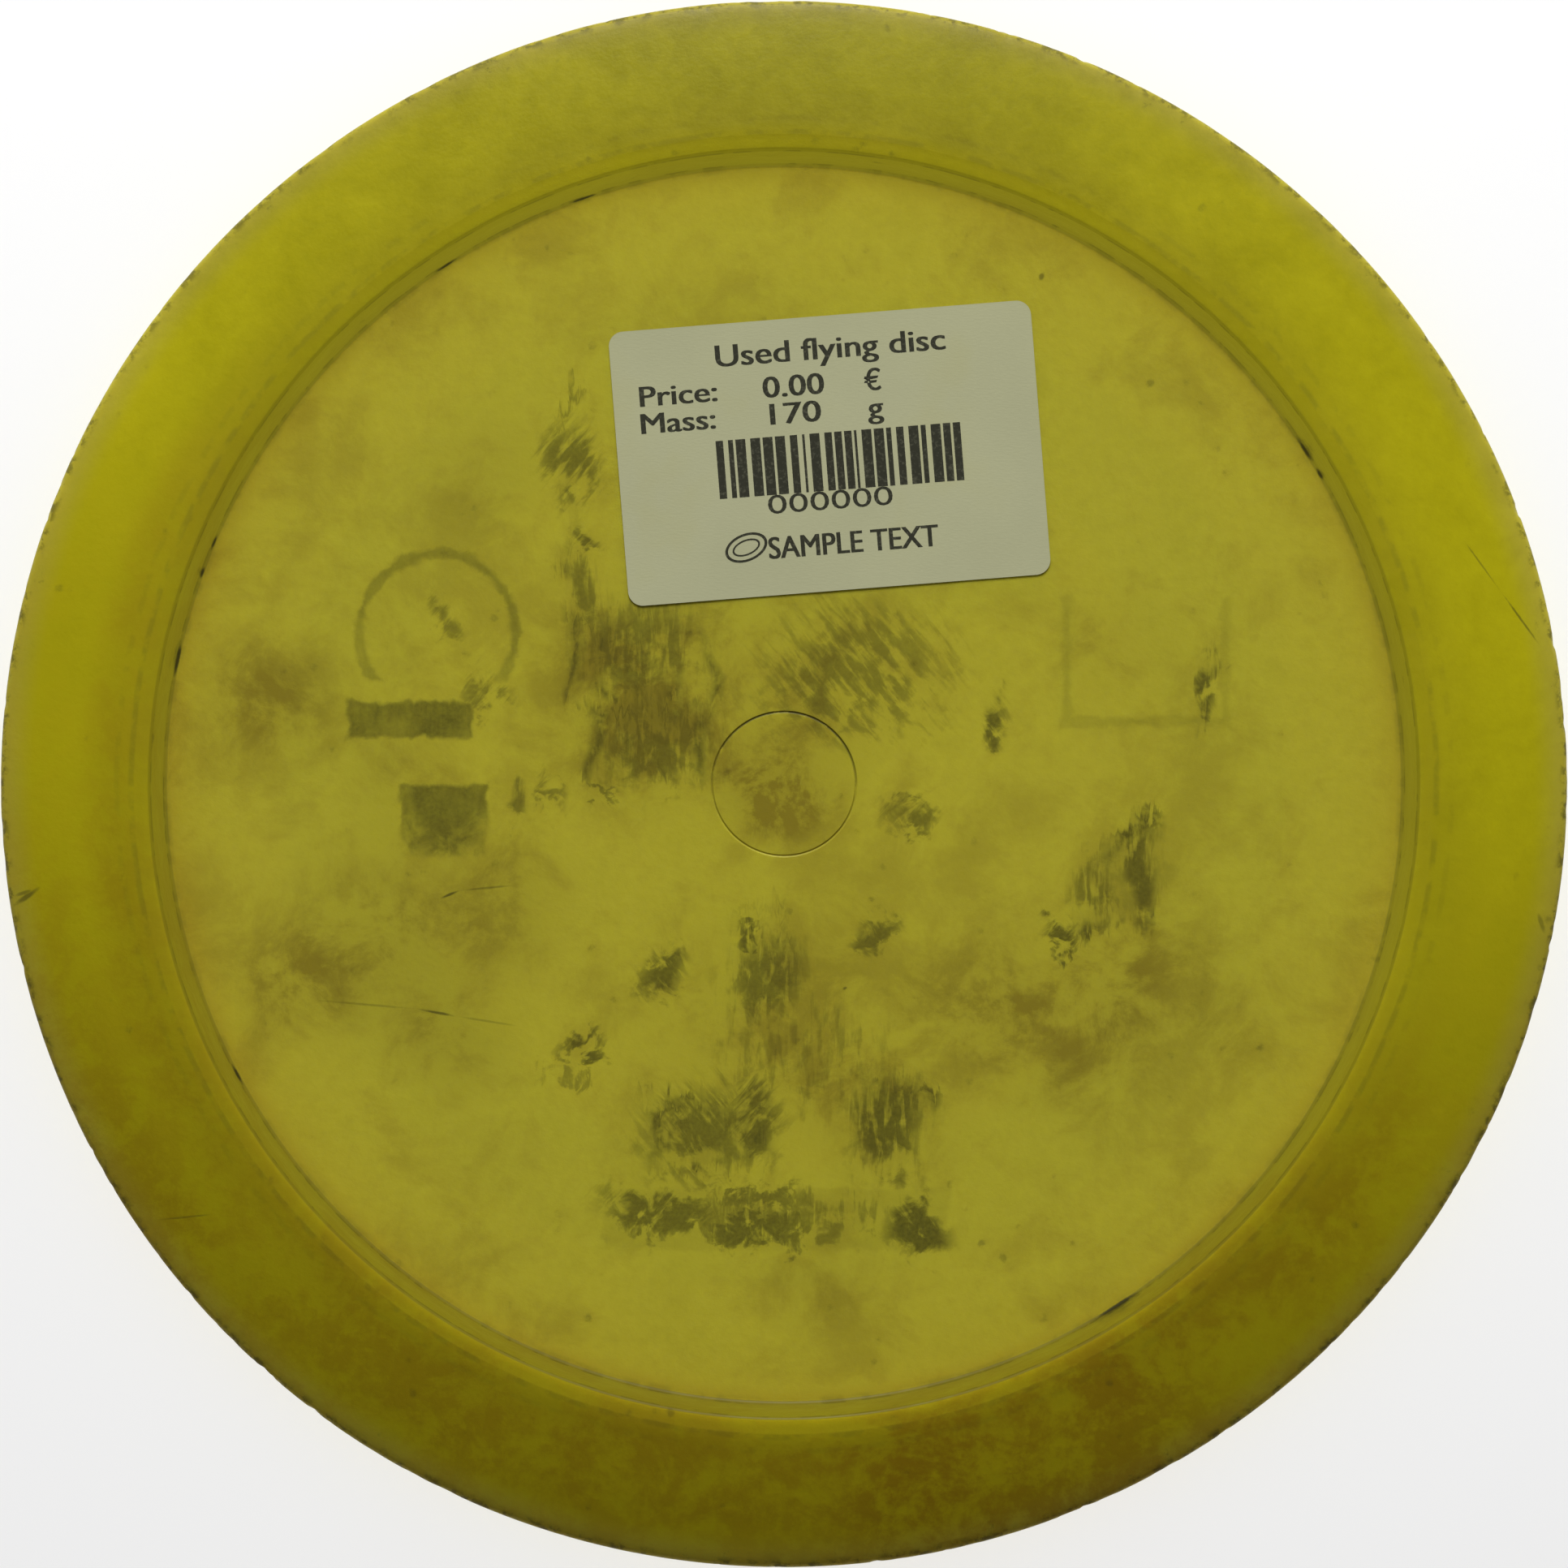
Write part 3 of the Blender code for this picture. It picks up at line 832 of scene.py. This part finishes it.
def finish(piece, slot, *nodes):
    """Let the piece ride on the disc and stand for its CAD nodes; the slot is not used."""
    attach(piece, "root")
    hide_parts(*nodes)


def arc_points(centre, radius, start, end, steps):
    """Points on an arc from the angle start to the angle end, in degrees."""
    angles = [math.radians(start + (end - start) * i / steps) for i in range(steps + 1)]
    return [(centre[0] + radius * math.cos(a), centre[1] + radius * math.sin(a)) for a in angles]


def bezier_points(p0, p1, p2, p3, steps):
    """Points on a cubic curve, without its first."""
    points = []
    for i in range(1, steps + 1):
        t = i / steps
        weights = ((1 - t) ** 3, 3 * (1 - t) ** 2 * t, 3 * (1 - t) * t ** 2, t ** 3)
        points.append(tuple(sum(w * p[k] for w, p in zip(weights, (p0, p1, p2, p3))) for k in (0, 1)))
    return points


# ---- disc body

CORNER_FILLET = 0.0006
RING_FILLET = 0.0005
GATE_WIDTH = 0.0004
GATE_DEPTH = 0.00015
LOWER_SLOPE_AT_NOSE = math.radians(17.5)
LOWER_SLOPE_AT_RING = math.radians(10.0)
UPPER_SLOPE_AT_NOSE = math.radians(33.0)
UPPER_PULLS = (0.009, 0.014)
BED_DEPTH = 0.0002
BED_MARGIN = 0.00006


def disc_profile(shape):
    """(radius, height) points of the section: inner face, rim, nose, shoulder and outer face."""
    plate, ring = shape.plate, RING_HEIGHT
    wall = NOSE_RADIUS - shape.rim_width
    wall_top = wall + (ring - plate) * math.tan(shape.wall_draft)
    gate = shape.gate_ring
    points = [(0.0, plate), (gate * 0.6, plate), (gate - GATE_WIDTH / 2, plate), (gate, plate - GATE_DEPTH),
              (gate + GATE_WIDTH / 2, plate)]
    points += [(gate + (wall - gate) * share, plate) for share in (0.15, 0.35, 0.60, 0.82, 0.95)]
    points += arc_points((wall - CORNER_FILLET, plate + CORNER_FILLET), CORNER_FILLET, -90, 0, 6)
    points.append(((wall + wall_top) / 2, (plate + ring) / 2))
    points += arc_points((wall_top + RING_FILLET, ring - RING_FILLET), RING_FILLET, 180, 90, 6)
    ring_end = (wall_top + shape.edge_ring, ring)
    points += [(ring_end[0] - 0.0009, ring), (ring_end[0] - 0.00012, ring), ring_end]

    # The underside of the rim leaves the ring and meets the nose's arc at their slopes.
    centre = (NOSE_RADIUS - shape.nose_round, ring - shape.nose_drop)
    lower, upper = math.degrees(LOWER_SLOPE_AT_NOSE), math.degrees(UPPER_SLOPE_AT_NOSE)
    nose_arc = arc_points(centre, shape.nose_round, 90 - lower, upper - 90, 14)
    reach = (nose_arc[0][0] - ring_end[0]) / 3
    points += bezier_points(
        ring_end,
        (ring_end[0] + reach, ring_end[1] - reach * math.tan(LOWER_SLOPE_AT_RING)),
        (nose_arc[0][0] - reach, nose_arc[0][1] + reach * math.tan(LOWER_SLOPE_AT_NOSE)),
        nose_arc[0], 12)
    points += nose_arc[1:]

    # The shoulder rolls from the nose into the flat of the outer face.
    start, flat = nose_arc[-1], wall - shape.shoulder_start
    points += bezier_points(
        start,
        (start[0] - UPPER_PULLS[0] * math.cos(UPPER_SLOPE_AT_NOSE),
         start[1] - UPPER_PULLS[0] * math.sin(UPPER_SLOPE_AT_NOSE)),
        (flat + UPPER_PULLS[1], 0.0), (flat, 0.0), 14)
    points += [(flat * share, 0.0) for share in (0.66, 0.33, 0.0)]
    return points


def turned_disc_tree(material):
    """Sweeps a section round the axis and nicks the nose."""
    tree, graph, given = geometry_tree("turned_disc", (
        ("Steps", "NodeSocketInt", 360),
        ("Pivot", "NodeSocketFloat", 0.05),
        ("Nose radius", "NodeSocketFloat", 0.1),
        ("Nick depth", "NodeSocketFloat", 0.0),
        ("Nick size", "NodeSocketFloat", 0.004),
    ))
    circle = graph.node("GeometryNodeCurvePrimitiveCircle", {"mode": "RADIUS"}, {
        "Resolution": given["Steps"], "Radius": given["Pivot"]})
    swept = graph.node("GeometryNodeCurveToMesh", values={"Curve": circle, "Profile Curve": given["Geometry"]})
    merged = graph.node("GeometryNodeMergeByDistance", values={"Geometry": swept, "Distance": CLEAR})
    place = graph.node("GeometryNodeInputPosition")
    x, y, _ = graph.split(place)
    radius = hypot(x, y) + CLEAR
    inside = given["Nose radius"] - radius
    at_nose = inside.step(0.0020, 0.0004)
    chips = graph.noise(place, 1.0 / given["Nick size"], 2.0, 0.6)
    dents = graph.noise(place, 0.35 / given["Nick size"], 2.0, 0.5)
    depth = chips.step(0.57, 0.74) + dents.step(0.58, 0.72) * 0.5 + (chips - 0.35) * 0.25
    push = at_nose * depth * given["Nick depth"] * -1.0 / radius
    moved = graph.node("GeometryNodeSetPosition", values={
        "Geometry": merged, "Offset": graph.joined(x * push, y * push, 0.0)})
    end_tree(graph, moved, material)
    return tree


def section_curve(points, pivot):
    """The section as an open curve, drawn so that a sweep turns it round the axis."""
    curve = bpy.data.curves.new("disc_section", "CURVE")
    curve.dimensions = "3D"
    spline = curve.splines.new("POLY")
    spline.points.add(len(points) - 1)
    for point, (radius, height) in zip(spline.points, points):
        point.co = (radius - pivot, -height, 0.0, 1.0)
    return curve


def foil_beds():
    """One cutter with a bed for each foil island, from the CAD foils' own outlines."""
    shape = bmesh.new()
    for name in FOIL_NODES:
        island = bmesh.new()
        island.from_mesh(frame["nodes"][name].data)
        bmesh.ops.remove_doubles(island, verts=island.verts, dist=CLEAR)
        bmesh.ops.recalc_face_normals(island, faces=island.faces)
        island.normal_update()
        low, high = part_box(name)
        middle = (low.z + high.z) / 2
        for vert in island.verts:
            outward = Vector((vert.normal.x, vert.normal.y, 0.0))
            if outward.length > CLEAR:
                vert.co += outward.normalized() * BED_MARGIN
            vert.co.z = BED_DEPTH if vert.co.z > middle else -BED_DEPTH
        bed = mesh_from(island, name + "_bed")
        shape.from_mesh(bed)
        bpy.data.meshes.remove(bed)
    return in_scene("foil_beds", mesh_from(shape, "foil_beds"))


def press_beds(piece):
    """Cut the foil beds into the piece."""
    cutter = foil_beds()
    cut = piece.modifiers.new("foil_beds", "BOOLEAN")
    cut.operation = "DIFFERENCE"
    cut.solver = "MANIFOLD"
    cut.object = cutter
    mesh = evaluated_mesh(piece)
    piece.modifiers.clear()
    plain, name = piece.data, piece.data.name
    piece.data = mesh
    bpy.data.meshes.remove(plain)
    mesh.name = name
    bpy.data.objects.remove(cutter, do_unlink=True)


class FLYINGDISC_OT_body(bpy.types.Operator):
    """Turn the disc's one-piece moulding, nick its nose and press the foil beds into it"""

    bl_idname = "object.flying_disc_body"
    bl_label = "Disc Body"

    def execute(self, context):
        settings = context.scene.flying_disc
        shape = settings.shape
        material = plastic_material(settings)
        pivot = NOSE_RADIUS / 2
        section = section_curve(disc_profile(shape), pivot)
        body = grown_by(turned_disc_tree(material), section, "yellow_disc", {
            "Steps": shape.steps, "Pivot": pivot, "Nose radius": NOSE_RADIUS,
            "Nick depth": shape.nick_depth, "Nick size": shape.nick_size})
        tidy_mesh(body.data)
        press_beds(body)
        smooth(body.data)
        finish(body, "yellow_plastic", "disc_body")
        return {"FINISHED"}


# ---- label

PAPER_THICKNESS = 0.00012
PAPER_WAVE = 0.00003
PRINT_THICKNESS = 0.00001
STRIKE_LIFT = 0.0000015
RING_STEPS = 56
PAPER_ROWS, PAPER_COLUMNS = 72, 100


def label_place(settings):
    """Matrix from the label's own plane, at the paper's top face, to the disc."""
    middle = (LABEL_LOW + LABEL_HIGH) / 2
    top = LABEL_HIGH.z - PAPER_WAVE
    return Matrix.Translation((middle.x, middle.y, top)) @ Matrix.Rotation(settings.label.tilt, 4, "Z")


def paper_lift(u, v):
    """Height of the paper's slight waves above its flat."""
    return PAPER_WAVE * (math.sin(u * 210 + 0.7) * math.cos(v * 260 - 0.4) - 0.3)


class FLYINGDISC_OT_label(bpy.types.Operator):
    """Lay the paper label on the plate"""

    bl_idname = "object.flying_disc_label"
    bl_label = "Price Label"

    def execute(self, context):
        settings = context.scene.flying_disc
        label = settings.label
        shape = bmesh.new()
        layers = []
        for side in (0, 1):
            rows = []
            for j in range(PAPER_ROWS + 1):
                v = -math.cos(math.pi * j / PAPER_ROWS) * label.height / 2
                past = max(abs(v) - (label.height / 2 - label.corner), 0.0)
                inset = label.corner - math.sqrt(max(label.corner ** 2 - past ** 2, 0.0))
                half = label.length / 2 - inset
                rows.append([])
                for i in range(PAPER_COLUMNS + 1):
                    u = half * (2 * i / PAPER_COLUMNS - 1)
                    height = paper_lift(u, v) if side else -PAPER_THICKNESS
                    rows[-1].append(shape.verts.new((u, v, height)))
            layers.append(rows)
        low, high = layers
        for j in range(PAPER_ROWS):
            for i in range(PAPER_COLUMNS):
                shape.faces.new((high[j][i], high[j][i + 1], high[j + 1][i + 1], high[j + 1][i]))
                shape.faces.new((low[j][i], low[j + 1][i], low[j + 1][i + 1], low[j][i + 1]))
        rims = [
            rows[0] + [row[-1] for row in rows[1:]] + rows[-1][-2::-1] + [row[0] for row in rows[-2:0:-1]]
            for rows in layers
        ]
        for i in range(len(rims[0])):
            after = (i + 1) % len(rims[0])
            shape.faces.new((rims[0][i], rims[0][after], rims[1][after], rims[1][i]))
        bmesh.ops.transform(shape, verts=shape.verts, matrix=label_place(settings))
        bmesh.ops.recalc_face_normals(shape, faces=shape.faces)
        mesh = mesh_from(shape, "paper_label")
        mesh.materials.append(paper_material(settings))
        smooth(mesh, 40.0)
        finish(in_scene("paper_label", mesh), "label_paper", "price_label")
        return {"FINISHED"}


# Lines of print: name, words, middle of the baseline, width, height of capitals, boldness; in millimetres
PRINT_LINES_MM = (
    ("print_heading", "", (1.2, 12.9), 31.4, 2.9, 0.20),
    ("print_price_word", "Price:", (-19.9, 8.3), 10.6, 2.7, 0.20),
    ("print_price_value", "0.00", (-4.2, 8.2), 8.4, 2.8, 0.20),
    ("print_price_unit", "€", (6.6, 8.1), 2.3, 2.8, 0.16),
    ("print_mass_word", "Mass:", (-20.2, 4.6), 10.2, 2.7, 0.20),
    ("print_mass_value", "170", (-4.2, 4.5), 7.0, 2.8, 0.20),
    ("print_mass_unit", "g", (6.7, 4.4), 2.2, 2.8, 0.20),
    ("print_number", "", (-0.4, -7.6), 17.0, 2.5, 0.0),
    ("print_footer", "SAMPLE TEXT", (2.3, -13.7), 23.2, 2.9, 0.18),
)
CAPITAL_SHARE = 0.682
BAR_FIELD_MM = ((1.5, -1.1), (33.7, 7.9))
RING_MARK_MM = ((-12.3, -11.9), 3.0)
RING_MARK_TURN = math.radians(18.0)
RING_MARK_FLATNESS = 0.62


def bar_tree(material):
    """A row of bars of random widths with random gaps, each a thin box."""
    tree, graph, given = geometry_tree("bar_row", (
        ("Bars", "NodeSocketInt", 30),
        ("Length", "NodeSocketFloat", 0.03),
        ("Height", "NodeSocketFloat", 0.008),
        ("Thickness", "NodeSocketFloat", 0.00001),
        ("Seed", "NodeSocketInt", 0),
    ))
    points = graph.node("GeometryNodeMeshLine", {"mode": "OFFSET"}, {"Count": given["Bars"]})
    chance = graph.node("FunctionNodeRandomValue", {"data_type": "FLOAT"}, {"Seed": given["Seed"]}, output=1)
    gap = graph.node("FunctionNodeRandomValue", {"data_type": "INT"}, {
        "Min": 1, "Max": 2, "Seed": given["Seed"] + 1}, output=2)
    width = (chance * 4.0).math("CEIL")
    sums = graph.node("GeometryNodeAccumulateField", {"data_type": "FLOAT"}, {"Value": width + gap})
    before, total = (Field(graph, sums.socket.node.outputs[name]) for name in ("Trailing", "Total"))
    unit = given["Length"] / total
    middle = (before + width * 0.5) * unit - given["Length"] * 0.5
    placed = graph.node("GeometryNodeSetPosition", values={
        "Geometry": points, "Position": graph.joined(middle, 0.0, 0.0)})
    box = graph.node("GeometryNodeMeshCube", values={"Size": (1.0, 1.0, 1.0)})
    size = graph.joined(width * unit, given["Height"], given["Thickness"])
    bars = graph.node("GeometryNodeInstanceOnPoints", values={"Points": placed, "Instance": box, "Scale": size})
    end_tree(graph, bars, material)
    return tree


def to_label(mesh, settings, u, v):
    """Move a flat print to its place on the label and onto the paper's waves."""
    mesh.transform(Matrix.Translation((u / MM, v / MM, 0.0)))
    for vert in mesh.vertices:
        vert.co.z += paper_lift(vert.co.x, vert.co.y) + PRINT_THICKNESS
    mesh.transform(label_place(settings))


def printed_words(name, words, width, capitals, boldness):
    """Words as a thin closed mesh over their baseline, printed three times side by side if bold."""
    curve = bpy.data.curves.new(name, "FONT")
    curve.body = words
    curve.size = capitals / CAPITAL_SHARE / MM
    curve.extrude = PRINT_THICKNESS / 2
    curve.resolution_u = 4
    drawn = in_scene(name, curve)
    mesh = evaluated_mesh(drawn)
    bpy.data.objects.remove(drawn, do_unlink=True)
    mesh.name = name
    tidy_mesh(mesh)
    across = [vert.co.x for vert in mesh.vertices]
    middle, natural = (max(across) + min(across)) / 2, max(across) - min(across)
    mesh.transform(Matrix.Translation((-middle, 0.0, 0.0)))
    mesh.transform(Matrix.Diagonal(((width - boldness) / MM / natural, 1.0, 1.0, 1.0)))
    if boldness:
        shape = bmesh.new()
        for strike in (-1, 0, 1):
            copy = mesh.copy()
            copy.transform(Matrix.Translation((strike * boldness / 2 / MM, 0.0, strike * STRIKE_LIFT)))
            shape.from_mesh(copy)
            bpy.data.meshes.remove(copy)
        shape.to_mesh(mesh)
        shape.free()
    return mesh


def loop_of_points(shape, radii, height):
    """Points round an ellipse at this height."""
    return [
        shape.verts.new((radii[0] * math.cos(a), radii[1] * math.sin(a), height))
        for a in (math.tau * i / RING_STEPS for i in range(RING_STEPS))
    ]


def ring_mark(radius):
    """A plain drawing of a disc seen from the side: two flat oval rings."""
    shape = bmesh.new()
    top, bottom = PRINT_THICKNESS / 2, -PRINT_THICKNESS / 2
    for outer, line in ((1.0, 0.13), (0.66, 0.09)):
        loops = [
            loop_of_points(shape, (radius * share, radius * (share * 1.28 - 0.28) * RING_MARK_FLATNESS), height)
            for share, height in ((outer, top), (outer, bottom), (outer - line, bottom), (outer - line, top))
        ]
        for first, second in zip(loops, loops[1:] + loops[:1]):
            for i in range(RING_STEPS):
                j = (i + 1) % RING_STEPS
                shape.faces.new((first[i], first[j], second[j], second[i]))
    bmesh.ops.recalc_face_normals(shape, faces=shape.faces)
    mesh = mesh_from(shape, "print_ring_mark")
    mesh.transform(Matrix.Rotation(RING_MARK_TURN, 4, "Z"))
    return mesh


class FLYINGDISC_OT_print(bpy.types.Operator):
    """Print the label: words, bars and a plain ring"""

    bl_idname = "object.flying_disc_print"
    bl_label = "Label Print"

    def execute(self, context):
        settings = context.scene.flying_disc
        label = settings.label
        ink = ink_material(settings)
        texts = {"print_heading": label.heading, "print_number": label.number}
        meshes = []
        for name, words, (u, v), width, capitals, boldness in PRINT_LINES_MM:
            mesh = printed_words(name, texts.get(name, words), width, capitals, boldness)
            to_label(mesh, settings, u, v)
            meshes.append(mesh)
        (u, v), radius = RING_MARK_MM
        mark = ring_mark(radius / MM)
        to_label(mark, settings, u, v)
        meshes.append(mark)
        for mesh in meshes:
            mesh.materials.clear()
            mesh.materials.append(ink)
            finish(in_scene(mesh.name, mesh), "label_paper")
        (u, v), (length, height) = BAR_FIELD_MM
        bars = grown_by(bar_tree(ink), bpy.data.meshes.new("bars"), "print_bars", {
            "Bars": label.bars, "Length": length / MM, "Height": height / MM,
            "Thickness": PRINT_THICKNESS, "Seed": label.seed})
        to_label(bars.data, settings, u, v)
        finish(bars, "label_paper")
        return {"FINISHED"}


# ---- foil

class FLYINGDISC_OT_foil(bpy.types.Operator):
    """Give the stamp's foil islands their rubbed finish"""

    bl_idname = "object.flying_disc_foil"
    bl_label = "Foil Stamp"

    def execute(self, context):
        material = foil_material(context.scene.flying_disc)
        for name in FOIL_NODES:
            node = frame["nodes"][name]
            node.data.materials.clear()
            node.data.materials.append(material)
        return {"FINISHED"}


# ---- stage

FLOOR_SIDE = 8.0
SENSOR = 36.0
KEY_DISTANCE = 2.4
KEY_SIDE = 0.9
VIEW_MARGIN = 1.0012


def softbox(name, place, target, size, watts):
    """A square light that faces the target."""
    lamp = bpy.data.lights.new(name, "AREA")
    lamp.shape = "SQUARE"
    lamp.size = size
    lamp.energy = watts
    light = in_scene(name, lamp)
    light.location = place
    light.rotation_euler = (Vector(target) - Vector(place)).to_track_quat("-Z", "Y").to_euler()
    return light


class FLYINGDISC_OT_stage(bpy.types.Operator):
    """Set the pale floor, the soft lights and the camera over the disc"""

    bl_idname = "scene.flying_disc_stage"
    bl_label = "Stage"

    def execute(self, context):
        scene = context.scene
        stage = scene.flying_disc.stage
        shape = bmesh.new()
        bmesh.ops.create_grid(shape, x_segments=1, y_segments=1, size=FLOOR_SIDE / 2)
        mesh = mesh_from(shape, "floor")
        material, graph, shader = new_material("pale_floor")
        feed(graph, shader, Base_Color=(*stage.floor, 1.0), Roughness=0.9, Specular_IOR_Level=0.1)
        mesh.materials.append(material)
        in_scene("floor", mesh)

        elevation = stage.key_elevation
        key_place = (0.0, KEY_DISTANCE * math.cos(elevation), KEY_DISTANCE * math.sin(elevation))
        key = softbox("key_light", key_place, (0, 0, 0), KEY_SIDE, stage.key)

        # The plastic lets the key light through, so the body throws no shadow of it into its own hollow.
        passed = bpy.data.collections.new("lets_key_light_through")
        passed.objects.link(bpy.data.objects["yellow_disc"])
        passed.collection_objects[0].light_linking.link_state = "EXCLUDE"
        key.light_linking.blocker_collection = passed
        world = bpy.data.worlds.new("soft_sky")
        world.use_nodes = True
        back = world.node_tree.nodes["Background"]
        back.inputs["Color"].default_value = (1.0, 1.0, 1.0, 1.0)
        back.inputs["Strength"].default_value = stage.sky
        scene.world = world
        scene.view_settings.view_transform = "Standard"

        data = bpy.data.cameras.new("camera")
        data.sensor_width = SENSOR
        nose_height = RING_HEIGHT - scene.flying_disc.shape.nose_drop
        data.lens = SENSOR / 2 * stage.camera_height / (NOSE_RADIUS * VIEW_MARGIN)
        data.clip_start = 0.01
        camera = in_scene("camera", data)
        camera.location = (0.0, 0.0, nose_height + stage.camera_height)
        scene.camera = camera
        return {"FINISHED"}


class FLYINGDISC_PT_panel(bpy.types.Panel):
    """Buttons that build the disc"""

    bl_idname = "FLYINGDISC_PT_panel"
    bl_label = "Flying Disc"
    bl_space_type = "VIEW_3D"
    bl_region_type = "UI"
    bl_category = "Flying Disc"

    def draw(self, context):
        for operator in BUILDERS:
            self.layout.operator(operator.bl_idname)
        settings = context.scene.flying_disc
        for group in (settings.shape, settings.plastic, settings.label, settings.stage):
            box = self.layout.box()
            for name in group.bl_rna.properties.keys():
                if name not in ("rna_type", "name"):
                    box.prop(group, name)


GROUPS = (DiscShape, DiscPlastic, LabelLook, StageLook, FlyingDiscSettings)
BUILDERS = (FLYINGDISC_OT_body, FLYINGDISC_OT_label, FLYINGDISC_OT_print, FLYINGDISC_OT_foil, FLYINGDISC_OT_stage)


def register():
    for cls in (*GROUPS, *BUILDERS, FLYINGDISC_PT_panel):
        bpy.utils.register_class(cls)
    bpy.types.Scene.flying_disc = PointerProperty(type=FlyingDiscSettings)


def unregister():
    del bpy.types.Scene.flying_disc
    for cls in (FLYINGDISC_PT_panel, *reversed(BUILDERS), *reversed(GROUPS)):
        bpy.utils.unregister_class(cls)


def main():
    for obj in list(bpy.data.objects):
        if obj.type in ("CAMERA", "LIGHT") or obj.name == "Cube":
            bpy.data.objects.remove(obj, do_unlink=True)
    register()
    bpy.ops.object.flying_disc_body()
    bpy.ops.object.flying_disc_label()
    bpy.ops.object.flying_disc_print()
    bpy.ops.object.flying_disc_foil()
    bpy.ops.scene.flying_disc_stage()


if __name__ == "__main__":
    main()
